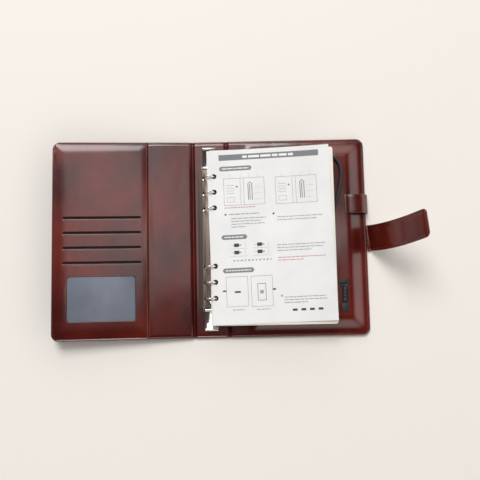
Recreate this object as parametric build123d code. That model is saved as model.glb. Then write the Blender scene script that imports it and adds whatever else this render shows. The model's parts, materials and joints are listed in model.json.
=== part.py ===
from build123d import *
import math
import os

# An open six-ring organiser in padded leather. Its back cover holds a power bank and a wireless
# charging coil, its front cover holds card pockets, and a strap closes it.
# The book lies open on a table: +X towards the fore edge of the back cover, +Y towards the heads
# of the pages, +Z up. The origin is the middle of the spine's outer face. Everything is in mm.

os.makedirs("parts", exist_ok=True)

# ---------- driving dimensions ----------
# covers and spine
FOLD_X = 20.5            # fold line of each cover, from the middle of the spine
FOLD_Z = 0.9             # height of the fold lines
COVER_REACH = 169.5      # fold line to fore edge
COVER_HEIGHT = 240.0
CORNER_R = 9.0
SKIN = 1.0               # outer leather
BOARD = 2.2              # stiffener of a cover
LINER = 1.8              # inner leather with its foam
RIM = 1.5                # turned leather round each board
HINGE_GAP = 1.2          # bare leather between a fold line and the first stiff edge
MITRE_GAP = 0.15         # clearance of the 45 degree mitres at the fold lines
FRONT_TILT = 5.0         # the front cover stands up this much by itself
SPINE_INSET = 1.0        # spine shorter than the covers, at each end
SPINE_BOARD = 2.0
SPINE_LINER = 1.0

# padded pack on the back cover
PACK_FOLD_GAP = 25.5     # fold line to the pack's foot
PACK_FORE_GAP = 7.0      # pack's foot to the fore edge
PACK_END_GAP = 7.5       # pack's foot to the head and the tail of the cover
PACK_SLOPE_FOLD = 12.0   # run of the slope on the spine's side
PACK_SLOPE_FORE = 14.0
PACK_SLOPE_END = 13.0
PACK_RISE = 8.2
PACK_R = 6.0
PACK_SKIN = 1.4

# power bank inside the pack
TRAY_GAP = 2.0           # tray to the edge of the pack's flat top
TRAY_WALL = 1.2
TRAY_FLOOR = 0.8
LID = 0.8
CELL_GAP = 1.2           # between the cells, and beside them
CELL_END_GAP = 7.3
CELL_HEADROOM = 1.0
CELL_R = 1.5
PCB_WIDTH = 16.6
PCB_LENGTH = 56.0
PCB_GAP = 0.4
PCB_OVERHANG = 0.5       # past the end of the socket
PCB_THICK = 1.2
POST_R = 1.5             # posts under the main board
POST_INSET = (3.0, 8.0)
SCREW_R = 0.8
SCREW_HEAD_R = 1.7
SCREW_FLOOR = 1.0
BOSS_R = 2.4
BOSS_MERGE = 0.7         # the bosses grow into the walls this far
COIL_R = 25.0
COIL_HOLE_R = 10.0
COIL_THICK = 1.0
FERRITE_R = 27.0
FERRITE_THICK = 0.8
FERRITE_FIT = 1.0

# control strip beside the pages
STRIP_INSET = 9.6        # its middle, from the edge of the pack's flat top
STRIP_END_GAP = 7.8      # its lower end, from the end of the pack's flat top
STRIP_LENGTH = 27.0      # head and stem
HEAD_WIDTH = 12.4
HEAD_HEIGHT = 6.6
HEAD_R = 3.1
STEM_WIDTH = 7.2
STRIP_THICK = 1.0
BUTTON_WIDTH = 7.6
BUTTON_HEIGHT = 4.0
BUTTON_R = 1.6
BUTTON_GAP = 0.3
BUTTON_PROUD = 0.6
BUTTON_FOOT = 0.8        # the cap's lower face, above the pack
BUTTON_TRAVEL_ROOM = 0.7
BUTTON_STEM_R = 1.4
SWITCH_SIDE = 5.0
SWITCH_HEIGHT = 2.2
SWITCH_HEADROOM = 1.0
LED_R = 0.8
LED_PITCH = 4.2
LED_COUNT = 4
LED_START = 10.4         # first light, from the top of the head
LED_PROUD = 0.1
FLAP_WIDTH = 8.6
FLAP_LENGTH = 10.6
FLAP_THICK = 1.0
FLAP_R = 2.6
FLAP_GAP = 0.3
FLAP_LIFT = 0.1
SOCKET_SIZE = (3.4, 9.2)
SOCKET_WALL = 0.4
TONGUE_SIZE = (0.7, 6.4)
TONGUE_DEPTH = 1.0

# pen loop over the fore edge
LOOP_Y = 37.5
LOOP_WIDTH = 23.0
LOOP_THICK = 1.5
LOOP_ROOT = 6.0          # sewn this far in from the edge of the pack's flat top
LOOP_RISE = 3.4
LOOP_BEND = 5.5          # run of its first bend
LOOP_FLAT = 13.5         # where it starts down, from the edge of the flat top
LOOP_SAG = 0.6
LOOP_CHEEK = 5.5         # start of the straight side, above the margin
LOOP_TAIL = 1.0          # lower end, above the outer skin

# charging cable, kept on the pack
CABLE_R = 2.1
CABLE_LIFT = 0.05
GROMMET_R = 4.0
GROMMET_WALL = 0.9
PLUG_WIDTH = 9.0
PLUG_LENGTH = 18.0
PLUG_HEIGHT = 4.1
PLUG_R = 1.9
SLEEVE_FIT = 0.3
SLEEVE_WALL = 1.2
SLEEVE_LENGTH = 9.0
SLEEVE_BACK = 2.0        # bare end of the plug past the sleeve

# ring mechanism
RING_PITCH = 19.0
RING_MIDDLE_GAP = 70.0
RING_R = 6.6             # centre line of the arch
WIRE_R = 1.1
RING_RISE = 7.5          # centre of the arch, above the plate
PLATE_PAST_RINGS = 11.0
PLATE_MARGIN = 5.0       # plate beyond the blades
PLATE_CROWN = 5.0
PLATE_THICK = 1.0
RING_SLOT = (0.6, 0.5)   # room round a wire in the plate, along X and Y
RING_SLOT_SHIFT = 0.25   # the slots stand further out, the way the rings open
BLADE_MARGIN = 2.9       # blade beyond the ring wires
BLADE_THICK = 0.8
BLADE_LIFT = 0.6
BLADE_GAP = 0.35         # half the gap between the blades
BLADE_END_GAP = 0.8      # blade to the ears
TIP_GAP = 0.1            # half the gap between closed ring tips
LEVER_WIDTH = 16.0
LEVER_LENGTH = 25.0
LEVER_THICK = 1.2
LEVER_TILT = 7.0
LEVER_LIP_R = 1.4
LEVER_BARREL_R = 1.8
PIN_R = 0.8
PIN_FIT = 0.05
PIN_PAST_PLATE = 2.4
PIN_LIFT = 2.6
EAR_THICK = 1.0
EAR_ROOT = 1.4           # the ears start this far inside the plate's end
EAR_GAP = 0.6            # between an ear and the lever
EAR_PAST_PIN = 1.8
EAR_OVER_PIN = 1.6
RIVET_PAST_RING = 6.0
RIVET_R = 1.6
RIVET_HEAD_R = 3.0
RIVET_HEAD = 0.9
RIVET_ROOM = 0.8         # between a rivet and the blades

# paper
PAGE_WIDTH = 148.0
PAGE_HEIGHT = 210.0
STACK = 6.0
HOLE_MARGIN = 5.9        # bound edge of the pages to the rings' centre line
HOLE_R = 3.25
PAGE_CLEARANCE = 1.166   # the pages rise just enough to pass the gland
LEAFLET_THICK = 0.3
LEAFLET_GAP = 0.35
LEAFLET_WIDTH = 146.5
LEAFLET_HEIGHT = 209.0
LEAFLET_TWIST = 1.4      # the loose sheet lies a little askew
LEAFLET_SHIFT = (-1.4, 1.5)
CURL_START = 86.0
CURL_RISE = 3.0

# front cover pockets
POCKET_WIDTH = 115.5
POCKET_THICK = 1.4
BACKING_THICK = 0.4
BACKING_INSET = 5.0
SLOT_LENGTH = 92.5
SLOT_WIDTH = 2.8
SLOT_FORE_GAP = 59.5     # middle of the slots to the fore edge
SLOT_PITCH = 18.0
SLOT_COUNT = 4
SLOT_WINDOW_GAP = 16.6
WINDOW_SIZE = (80.0, 53.0)
WINDOW_FORE_GAP = 59.0   # middle of the window to the fore edge
WINDOW_TAIL_GAP = 49.4   # and to the tail of the cover
WINDOW_R = 4.0
WINDOW_LAP = 2.0
WINDOW_THICK = 0.5
CLASP_FORE_GAP = 33.0
CLASP_PLATE_R = 7.0
CLASP_PLATE_THICK = 0.8

# strap
STRAP_Y = -3.0
STRAP_WIDTH = 32.0
STRAP_THICK = 3.2
STRAP_ROOT_LENGTH = 42.0
STRAP_TIP_LENGTH = 49.0
STRAP_START = 69.0       # heading above the table at the root
STRAP_BEND = 10.0        # each half bends outwards by this much
STRAP_SKEW = 6.0         # heading towards the page heads
STRAP_FOLD_ROOM = 2.4    # fore edge to the knuckle of the strap's fold
STRAP_END_R = 6.0
ANCHOR_THICK = 0.35      # stub of the strap, sewn to the fore edge
STRAP_JOINT_GAP = 0.4
STRAP_LINK_LAP = 0.1
MAGNET_R = 6.0
MAGNET_THICK = 1.0
MAGNET_FIT = 0.05
MAGNET_PLACE = 36.0      # from the middle fold along the strap

# charging cable's route on the pack, from the gland to the plug, in X and Y
CABLE_POINTS = [(118.0, 84.0), (124.5, 94.0), (139.5, 98.0), (153.5, 95.0), (159.9, 82.5),
                (158.7, 66.0), (155.0, 50.0), (150.8, 36.0), (146.0, 25.0)]

# ---------- values that follow from them ----------
COVER_X = FOLD_X + COVER_REACH
HALF = COVER_HEIGHT / 2
BOARD_TOP = SKIN + BOARD
COVER_TOP = BOARD_TOP + LINER
SPINE_TOP = SKIN + SPINE_BOARD + SPINE_LINER
SPINE_HALF = HALF - SPINE_INSET
BEAD_R = FOLD_Z

PACK_FOOT_X = (FOLD_X + PACK_FOLD_GAP, COVER_X - PACK_FORE_GAP)
PACK_TOP_X = (PACK_FOOT_X[0] + PACK_SLOPE_FOLD, PACK_FOOT_X[1] - PACK_SLOPE_FORE)
PACK_FOOT_HALF = HALF - PACK_END_GAP
PACK_TOP_HALF = PACK_FOOT_HALF - PACK_SLOPE_END
PACK_TOP = COVER_TOP + PACK_RISE
LID_TOP = PACK_TOP - PACK_SKIN
LID_BOTTOM = LID_TOP - LID

STRIP_X = PACK_TOP_X[1] - STRIP_INSET
STRIP_TOP = PACK_TOP + STRIP_THICK
FLAP_END_Y = -PACK_TOP_HALF + STRIP_END_GAP
SOCKET_Y = FLAP_END_Y + FLAP_LENGTH / 2
FLAP_HINGE_Y = FLAP_END_Y + FLAP_LENGTH + FLAP_GAP
FLAP_BOTTOM = PACK_TOP + FLAP_LIFT
STRIP_END_Y = FLAP_HINGE_Y + FLAP_GAP
STRIP_TOP_Y = STRIP_END_Y + STRIP_LENGTH
HEAD_Y = STRIP_TOP_Y - HEAD_HEIGHT / 2
LED_YS = [STRIP_TOP_Y - LED_START - LED_PITCH * i for i in range(LED_COUNT)]

TRAY_X = (PACK_TOP_X[0] + TRAY_GAP, PACK_TOP_X[1] - TRAY_GAP)
TRAY_HALF = PACK_TOP_HALF - TRAY_GAP
TRAY_BED = BOARD_TOP + TRAY_FLOOR
COIL_X = (TRAY_X[0] + TRAY_X[1]) / 2
PCB_X1 = TRAY_X[1] - TRAY_WALL - PCB_GAP
PCB_X0 = PCB_X1 - PCB_WIDTH
PCB_Y0 = SOCKET_Y - SOCKET_SIZE[1] / 2 - PCB_OVERHANG
PCB_Y1 = PCB_Y0 + PCB_LENGTH
SWITCH_TOP = LID_BOTTOM - SWITCH_HEADROOM
PCB_TOP = SWITCH_TOP - SWITCH_HEIGHT
PCB_Z = PCB_TOP - PCB_THICK
CELL_X0 = TRAY_X[0] + TRAY_WALL + CELL_GAP
CELL_WIDTH = (PCB_X0 - CELL_X0 - 2 * CELL_GAP) / 2
CELL_HALF = TRAY_HALF - TRAY_WALL - CELL_END_GAP

CABLE_Z = PACK_TOP + CABLE_R + CABLE_LIFT
GROMMET_X, GROMMET_Y = CABLE_POINTS[0]
GROMMET_TOP = PACK_TOP + 2 * CABLE_R + GROMMET_WALL

RING_YS = [side * (RING_MIDDLE_GAP / 2 + RING_PITCH * i) for side in (1, -1) for i in range(3)]
RING_END_Y = max(RING_YS)
BLADE_X = RING_R + BLADE_MARGIN
BLADE_BOTTOM = SPINE_TOP + BLADE_LIFT
BLADE_TOP = BLADE_BOTTOM + BLADE_THICK
PLATE_WIDTH = 2 * (BLADE_X + PLATE_MARGIN)
PLATE_HALF = RING_END_Y + PLATE_PAST_RINGS
PLATE_TOP = SPINE_TOP + PLATE_CROWN
PLATE_R = ((PLATE_WIDTH / 2) ** 2 + PLATE_CROWN ** 2) / (2 * PLATE_CROWN)
RING_Z = PLATE_TOP + RING_RISE
RIVET_Y = RING_END_Y + RIVET_PAST_RING
PIN_Y = PLATE_HALF + PIN_PAST_PLATE
PIN_Z = SPINE_TOP + PIN_LIFT
EAR_X = LEVER_WIDTH / 2 + EAR_GAP

PAGE_EDGE_X = RING_R - HOLE_MARGIN
PAGE_BOTTOM = RING_Z - STACK / 2
PAGE_TOP = RING_Z + STACK / 2
PAGE_TILT = math.degrees(math.asin((GROMMET_TOP + PAGE_CLEARANCE - PAGE_BOTTOM) / (GROMMET_X - GROMMET_R)))

POCKET_TOP = COVER_TOP + POCKET_THICK
POCKET_EDGE_X = COVER_X - POCKET_WIDTH
FILM_BOTTOM = COVER_TOP + BACKING_THICK
SLOT_X = COVER_X - SLOT_FORE_GAP
WINDOW_X = COVER_X - WINDOW_FORE_GAP
WINDOW_Y = WINDOW_TAIL_GAP - HALF
SLOT_YS = [WINDOW_Y + WINDOW_SIZE[1] / 2 + SLOT_WINDOW_GAP + SLOT_PITCH * i for i in range(SLOT_COUNT)]
CLASP_X = COVER_X - CLASP_FORE_GAP

STRAP_HALF = STRAP_WIDTH / 2
STRAP_R = STRAP_THICK / 2
STRAP_AXIS = (COVER_X + STRAP_FOLD_ROOM + STRAP_R, STRAP_Y, SKIN + STRAP_R)
CLASP_Y = STRAP_Y - (STRAP_AXIS[0] - CLASP_X) * math.tan(math.radians(STRAP_SKEW))


# ---------- small helpers ----------
def slab(x0, x1, y0, y1, z0, z1):
    """A block between two corners."""
    block = Box(x1 - x0, y1 - y0, z1 - z0)
    return Pos((x0 + x1) / 2, (y0 + y1) / 2, (z0 + z1) / 2) * block


def disc(x, y, r, z0, z1):
    """An upright cylinder from z0 to z1."""
    return Pos(x, y, (z0 + z1) / 2) * Cylinder(r, z1 - z0)


def rod_x(x0, x1, y, z, r):
    """A cylinder along X."""
    return Pos((x0 + x1) / 2, y, z) * Rot(0, 90, 0) * Cylinder(r, x1 - x0)


def rod_y(x, y0, y1, z, r):
    """A cylinder along Y."""
    return Pos(x, (y0 + y1) / 2, z) * Rot(90, 0, 0) * Cylinder(r, y1 - y0)


def rounded(x, y, width, height, r, z0, z1):
    """An upright rounded bar, centred on x and y."""
    return Pos(x, y, z0) * extrude(RectangleRounded(width, height, r), z1 - z0)


def profile_y(points, y0, y1):
    """A solid from an outline in X and Z, run along Y."""
    face = make_face(Polyline([(x, 0, z) for x, z in points], close=True))
    return extrude(face, amount=y1 - y0, dir=(0, 1, 0)).moved(Location((0, y0, 0)))


def about_y(shape, x, z, degrees):
    """Turns a shape about an axis along +Y; positive lifts what lies towards -X."""
    return shape.rotate(Axis((x, 0, z), (0, 1, 0)), degrees)


def mirror_x(shape):
    return mirror(shape, about=Plane.YZ)


def one(shape):
    """The single solid of a result that should have only one."""
    solids = shape.solids()
    return solids[0] if len(solids) == 1 else shape


def write(name, shape):
    export_step(shape, f"parts/{name}.step")


# ---------- covers ----------
def cover_sheet(inset, x_in, z0, z1):
    """A sheet of the back cover, with both fore corners rounded."""
    sheet = slab(x_in, COVER_X - inset, -(HALF - inset), HALF - inset, z0, z1)
    corners = sheet.edges().filter_by(Axis.Z).group_by(Axis.X)[-1]
    return fillet(corners, CORNER_R - inset)


def fold_mitre():
    """Everything above the 45 degree plane that rises from the back fold line over its cover."""
    x, z = FOLD_X + MITRE_GAP, FOLD_Z
    return profile_y([(x - 12, z - 12), (x + 40, z + 40), (x - 12, z + 40)], -HALF - 5, HALF + 5)


MITRE = fold_mitre()


def spine_mitre(shape):
    """Cuts both 45 degree mitres of a spine layer."""
    cut = mirror(MITRE, about=Plane(origin=(FOLD_X, 0, 0), z_dir=(1, 0, 0)))
    return shape - cut - mirror_x(cut)


def cover_skin():
    """Outer leather with its turned rim; the board lies in it."""
    skin = cover_sheet(0, FOLD_X + HINGE_GAP, 0, BOARD_TOP)
    return skin - cover_sheet(RIM, FOLD_X + HINGE_GAP + RIM, SKIN, BOARD_TOP) - MITRE


def cover_board():
    return cover_sheet(RIM, FOLD_X + HINGE_GAP + RIM, SKIN, BOARD_TOP) - MITRE


def strap_anchor():
    """The stub of the strap that is sewn to the fore edge."""
    return slab(COVER_X, COVER_X + ANCHOR_THICK, STRAP_Y - STRAP_HALF, STRAP_Y + STRAP_HALF,
                SKIN, SKIN + STRAP_THICK)


# ---------- padded pack ----------
def pack_loft(inset, z0, z1, rise_share):
    """The frustum of the pack, set in by an amount; rise_share says how much of the slope it climbs."""
    foot_x0, foot_x1 = PACK_FOOT_X[0] + inset, PACK_FOOT_X[1] - inset
    foot_half = PACK_FOOT_HALF - inset
    top_x0 = foot_x0 + (PACK_TOP_X[0] - PACK_FOOT_X[0]) * rise_share
    top_x1 = foot_x1 - (PACK_FOOT_X[1] - PACK_TOP_X[1]) * rise_share
    top_half = foot_half - (PACK_FOOT_HALF - PACK_TOP_HALF) * rise_share
    foot = RectangleRounded(foot_x1 - foot_x0, 2 * foot_half, PACK_R)
    top = RectangleRounded(top_x1 - top_x0, 2 * top_half, PACK_R)
    low = Pos((foot_x0 + foot_x1) / 2, 0, z0) * foot
    high = Pos((top_x0 + top_x1) / 2, 0, z1) * top
    return loft([low, high])


def pack_inside():
    """The room under the pack's leather."""
    rise_share = (LID_TOP - COVER_TOP) / PACK_RISE
    upper = pack_loft(PACK_SKIN, COVER_TOP, LID_TOP, rise_share)
    foot_x0, foot_x1 = PACK_FOOT_X[0] + PACK_SKIN, PACK_FOOT_X[1] - PACK_SKIN
    lower = rounded((foot_x0 + foot_x1) / 2, 0, foot_x1 - foot_x0,
                    2 * (PACK_FOOT_HALF - PACK_SKIN), PACK_R, BOARD_TOP, COVER_TOP)
    return upper + lower


def tray_block(z0, z1):
    return slab(TRAY_X[0], TRAY_X[1], -TRAY_HALF, TRAY_HALF, z0, z1)


def button_hole(z0, z1):
    """Room for the button's stem."""
    return disc(STRIP_X, HEAD_Y, BUTTON_STEM_R + BUTTON_GAP, z0, z1)


def socket_body(grow, z0, z1):
    width, height = SOCKET_SIZE[0] + grow, SOCKET_SIZE[1] + grow
    return rounded(STRIP_X, SOCKET_Y, width, height, width / 2 - 0.05, z0, z1)


def led_rods(z0, z1):
    return [disc(STRIP_X, y, LED_R, z0, z1) for y in LED_YS]


def through_holes(z0, z1):
    """What passes from the controls down into the power bank."""
    holes = [button_hole(z0, z1), socket_body(0, z0, z1), disc(GROMMET_X, GROMMET_Y, CABLE_R, z0, z1)]
    return holes + led_rods(z0, z1)


def back_inner_panel():
    """Flat margin and padded pack, one piece of leather."""
    margin = cover_sheet(0, FOLD_X + HINGE_GAP, BOARD_TOP, COVER_TOP) - MITRE
    panel = margin + pack_loft(0, COVER_TOP, PACK_TOP, 1.0) - pack_inside()
    for hole in through_holes(LID_TOP - 0.5, PACK_TOP + 0.5):
        panel -= hole
    return panel


def boss_places():
    inset = TRAY_WALL + BOSS_R - BOSS_MERGE
    return [(x, y) for x in (TRAY_X[0] + inset, TRAY_X[1] - inset)
            for y in (-TRAY_HALF + inset, TRAY_HALF - inset)]


def power_bank_tray():
    hollow = slab(TRAY_X[0] + TRAY_WALL, TRAY_X[1] - TRAY_WALL,
                  -TRAY_HALF + TRAY_WALL, TRAY_HALF - TRAY_WALL, TRAY_BED, LID_BOTTOM)
    tray = tray_block(BOARD_TOP, LID_BOTTOM) - hollow
    for x, y in boss_places():
        tray += disc(x, y, BOSS_R, TRAY_BED, LID_BOTTOM)
        tray -= disc(x, y, SCREW_R, TRAY_BED + SCREW_FLOOR, LID_BOTTOM)
    for y in (PCB_Y0 + POST_INSET[1], PCB_Y1 - POST_INSET[1]):
        tray += disc(PCB_X0 + POST_INSET[0], y, POST_R, TRAY_BED, PCB_Z)
    return tray


def power_bank_lid():
    lid = tray_block(LID_BOTTOM, LID_TOP)
    for x, y in boss_places():
        lid -= disc(x, y, SCREW_HEAD_R, LID_BOTTOM, LID_TOP)
    for hole in through_holes(LID_BOTTOM, LID_TOP):
        lid -= hole
    return lid


def tray_screws():
    screws = []
    for x, y in boss_places():
        shank = disc(x, y, SCREW_R, TRAY_BED + SCREW_FLOOR, LID_BOTTOM)
        head = disc(x, y, SCREW_HEAD_R, LID_BOTTOM, LID_TOP)
        screws.append(one(shank + head))
    return Compound(children=screws)


def battery_cell(index):
    x0 = CELL_X0 + index * (CELL_WIDTH + CELL_GAP)
    cell = slab(x0, x0 + CELL_WIDTH, -CELL_HALF, CELL_HALF, TRAY_BED, LID_BOTTOM - CELL_HEADROOM)
    return fillet(cell.edges().filter_by(Axis.Y), CELL_R)


def main_board():
    return slab(PCB_X0, PCB_X1, PCB_Y0, PCB_Y1, PCB_Z, PCB_TOP)


def tact_switch():
    half = SWITCH_SIDE / 2
    return slab(STRIP_X - half, STRIP_X + half, HEAD_Y - half, HEAD_Y + half, PCB_TOP, SWITCH_TOP)


def status_lights():
    return Compound(children=led_rods(PCB_TOP, STRIP_TOP + LED_PROUD))


def usb_socket():
    shell = socket_body(0, PCB_TOP, PACK_TOP)
    shell -= socket_body(-2 * SOCKET_WALL, PCB_TOP + SOCKET_WALL, PACK_TOP)
    half_x, half_y = TONGUE_SIZE[0] / 2, TONGUE_SIZE[1] / 2
    tongue = slab(STRIP_X - half_x, STRIP_X + half_x, SOCKET_Y - half_y, SOCKET_Y + half_y,
                  PCB_TOP + SOCKET_WALL, PACK_TOP - TONGUE_DEPTH)
    return shell + tongue


def control_bezel():
    """Head with the button's opening and a stem with the status lights."""
    head = rounded(STRIP_X, HEAD_Y, HEAD_WIDTH, HEAD_HEIGHT, HEAD_R, PACK_TOP, STRIP_TOP)
    stem = slab(STRIP_X - STEM_WIDTH / 2, STRIP_X + STEM_WIDTH / 2, STRIP_END_Y, HEAD_Y, PACK_TOP, STRIP_TOP)
    opening = rounded(STRIP_X, HEAD_Y, BUTTON_WIDTH + 2 * BUTTON_GAP, BUTTON_HEIGHT + 2 * BUTTON_GAP,
                      BUTTON_R + BUTTON_GAP, PACK_TOP, STRIP_TOP)
    bezel = head + stem - opening
    for rod in led_rods(PACK_TOP, STRIP_TOP):
        bezel -= rod
    return bezel


def power_button():
    foot = PACK_TOP + BUTTON_FOOT
    cap = rounded(STRIP_X, HEAD_Y, BUTTON_WIDTH, BUTTON_HEIGHT, BUTTON_R, foot, STRIP_TOP + BUTTON_PROUD)
    return cap + disc(STRIP_X, HEAD_Y, BUTTON_STEM_R, SWITCH_TOP + BUTTON_TRAVEL_ROOM, foot)


def port_flap():
    """Rubber cover of the charging port, hinged on its upper edge."""
    flap = slab(STRIP_X - FLAP_WIDTH / 2, STRIP_X + FLAP_WIDTH / 2, FLAP_END_Y, FLAP_END_Y + FLAP_LENGTH,
                FLAP_BOTTOM, FLAP_BOTTOM + FLAP_THICK)
    corners = flap.edges().filter_by(Axis.Z).group_by(Axis.Y)[0]
    return fillet(corners, FLAP_R)


# ---------- coil ----------
def wireless_coil():
    """A flat winding under the ferrite."""
    top = SKIN + COIL_THICK
    return disc(COIL_X, 0, COIL_R, SKIN, top) - disc(COIL_X, 0, COIL_HOLE_R, SKIN, top)


def ferrite_sheet():
    z0 = SKIN + COIL_THICK
    return disc(COIL_X, 0, FERRITE_R, z0, z0 + FERRITE_THICK)


# ---------- pen loop ----------
def pen_loop():
    """A band from the pack's edge over the slope and round the fore edge of the cover."""
    edge, root = PACK_TOP_X[1], PACK_TOP_X[1] - LOOP_ROOT
    bend, down, side = root + LOOP_BEND, edge + LOOP_FLAT, COVER_X + LOOP_THICK
    top, foot = PACK_TOP + LOOP_RISE, SKIN + LOOP_TAIL
    t = LOOP_THICK
    outer = [(root, PACK_TOP), (root, PACK_TOP + t), (bend, top), (down, top - LOOP_SAG),
             (side, COVER_TOP + LOOP_CHEEK), (side, foot), (COVER_X, foot)]
    inner = [(COVER_X, COVER_TOP + LOOP_CHEEK - t / 3), (down - t / 2, top - LOOP_SAG - t),
             (bend + t / 2, top - t), (bend - t, PACK_TOP)]
    return profile_y(outer + inner, LOOP_Y - LOOP_WIDTH / 2, LOOP_Y + LOOP_WIDTH / 2)


# ---------- cable ----------
def cable_path():
    """Straight runs joined by the largest tangent arcs that fit."""
    points = [Vector(x, y, CABLE_Z) for x, y in CABLE_POINTS]
    radii = []
    for a, b, c in zip(points, points[1:], points[2:]):
        turn = math.radians((b - a).get_angle(c - b))
        radii.append(0.45 * min((b - a).length, (c - b).length) / math.tan(turn / 2))
    print("cable arc radii", [round(r, 1) for r in radii])
    return FilletPolyline(*points, radius=radii)


def charge_cable():
    path = cable_path()
    start = Plane(origin=path @ 0, z_dir=path % 0)
    tube = sweep(start * Circle(CABLE_R), path=path)
    print("cable length", round(path.length, 1), "volume ratio",
          round(tube.volume / (math.pi * CABLE_R ** 2 * path.length), 4))
    return tube


def cable_grommet():
    """A round gland on the pack that the cable leaves sideways."""
    body = disc(GROMMET_X, GROMMET_Y, GROMMET_R, PACK_TOP, GROMMET_TOP)
    ahead = Vector(CABLE_POINTS[1][0] - GROMMET_X, CABLE_POINTS[1][1] - GROMMET_Y, 0).normalized()
    mouth = Plane(origin=(GROMMET_X, GROMMET_Y, CABLE_Z), z_dir=ahead)
    bore = mouth * Cylinder(CABLE_R, 3 * GROMMET_R, align=(Align.CENTER, Align.CENTER, Align.MIN))
    stalk = disc(GROMMET_X, GROMMET_Y, CABLE_R, LID_BOTTOM, PACK_TOP)
    return body - bore + stalk


def plug_frame():
    """A plane at the cable's end that looks on along the plug."""
    a, b = CABLE_POINTS[-2], CABLE_POINTS[-1]
    ahead = Vector(b[0] - a[0], b[1] - a[1], 0).normalized()
    return Plane(origin=(b[0], b[1], CABLE_Z), x_dir=(0, 0, 1), z_dir=ahead)


def cable_plug():
    return extrude(plug_frame() * RectangleRounded(PLUG_HEIGHT, PLUG_WIDTH, PLUG_R), PLUG_LENGTH)


def cable_sleeve():
    """A leather keeper, open at both ends, that holds the plug down."""
    start = plug_frame().offset(PLUG_LENGTH - SLEEVE_LENGTH - SLEEVE_BACK)
    height, width = PLUG_HEIGHT + SLEEVE_FIT, PLUG_WIDTH + SLEEVE_FIT
    outer = Rectangle(height + 2 * SLEEVE_WALL, width + 2 * SLEEVE_WALL)
    inner = RectangleRounded(height, width, PLUG_R)
    band = extrude(start * outer, SLEEVE_LENGTH) - extrude(start * inner, SLEEVE_LENGTH)
    return band - slab(0, COVER_X, -HALF, HALF, 0, PACK_TOP)


# ---------- spine ----------
def spine_layer(z0, z1):
    x = FOLD_X - HINGE_GAP
    return spine_mitre(slab(-x, x, -SPINE_HALF, SPINE_HALF, z0, z1))


def rivet_holes(shape, z0, z1):
    for y in (-RIVET_Y, RIVET_Y):
        shape -= disc(0, y, RIVET_R, z0, z1)
    return shape


def hinge_bead():
    """The leather of a fold, as a bead on the fold line."""
    return rod_y(FOLD_X, -HALF + CORNER_R, HALF - CORNER_R, FOLD_Z, BEAD_R)


def arch(radius_cut, z_low, y0, y1):
    """The part of a lying cylinder above z_low; its top is the crown less radius_cut."""
    centre = PLATE_TOP - PLATE_R
    full = rod_y(0, y0, y1, centre, PLATE_R - radius_cut)
    return full & slab(-40, 40, y0 - 1, y1 + 1, z_low, PLATE_TOP + 5)


def ring_plate():
    """An arched plate with ears for the lever pins and slots for the rings."""
    inner = arch(PLATE_THICK, SPINE_TOP - 1, -PLATE_HALF - 1, PLATE_HALF + 1)
    plate = arch(0, SPINE_TOP, -PLATE_HALF, PLATE_HALF) - inner
    for side in (-1, 1):
        for end in (-1, 1):
            y0, y1 = sorted((end * (PLATE_HALF - EAR_ROOT), end * (PIN_Y + EAR_PAST_PIN)))
            x0, x1 = sorted((side * EAR_X, side * (EAR_X + EAR_THICK)))
            plate += slab(x0, x1, y0, y1, SPINE_TOP, PIN_Z + EAR_OVER_PIN)
    for y in (-PIN_Y, PIN_Y):
        plate -= rod_x(-EAR_X - 2 * EAR_THICK, EAR_X + 2 * EAR_THICK, y, PIN_Z, PIN_R)
    half_x, half_y = WIRE_R + RING_SLOT[0], WIRE_R + RING_SLOT[1]
    for y in RING_YS:
        for side in (-1, 1):
            x = side * (RING_R + RING_SLOT_SHIFT)
            plate -= slab(x - half_x, x + half_x, y - half_y, y + half_y, SPINE_TOP + 1, PLATE_TOP + 2)
    return rivet_holes(plate, SPINE_TOP, PLATE_TOP + 1)


def plate_rivets():
    rivets = []
    for y in (-RIVET_Y, RIVET_Y):
        shank = disc(0, y, RIVET_R, SKIN, PLATE_TOP)
        head = disc(0, y, RIVET_HEAD_R, PLATE_TOP, PLATE_TOP + RIVET_HEAD)
        rivets.append(one(shank + head))
    return Compound(children=rivets)


def lever_pins():
    reach = EAR_X + EAR_THICK
    return Compound(children=[rod_x(-reach, reach, y, PIN_Z, PIN_R) for y in (-PIN_Y, PIN_Y)])


def ring_blade():
    """The blade on the +X side; its outer edge is its hinge."""
    half = PLATE_HALF - EAR_ROOT - BLADE_END_GAP
    blade = slab(BLADE_GAP, BLADE_X, -half, half, BLADE_BOTTOM, BLADE_TOP)
    for y in (-RIVET_Y, RIVET_Y):
        blade -= disc(0, y, RIVET_R + RIVET_ROOM, BLADE_BOTTOM, BLADE_TOP)
    return blade


def half_rings():
    """Six J-shaped wires, from the blade up and over to the middle."""
    wires = []
    for y in RING_YS:
        leg = Line((RING_R, y, BLADE_TOP), (RING_R, y, RING_Z))
        bow = CenterArc((0, 0), RING_R, 0, 90)
        bow = Plane(origin=(0, y, RING_Z), x_dir=(1, 0, 0), z_dir=(0, -1, 0)) * bow
        path = Wire([leg.edge(), bow.edge()])
        wire = sweep(Plane(origin=(RING_R, y, BLADE_TOP), z_dir=(0, 0, 1)) * Circle(WIRE_R), path=path)
        trim = slab(-RING_R, TIP_GAP, y - RING_R, y + RING_R, RING_Z, RING_Z + 2 * RING_R)
        wires.append(one(wire - trim))
    return Compound(children=wires)


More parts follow.
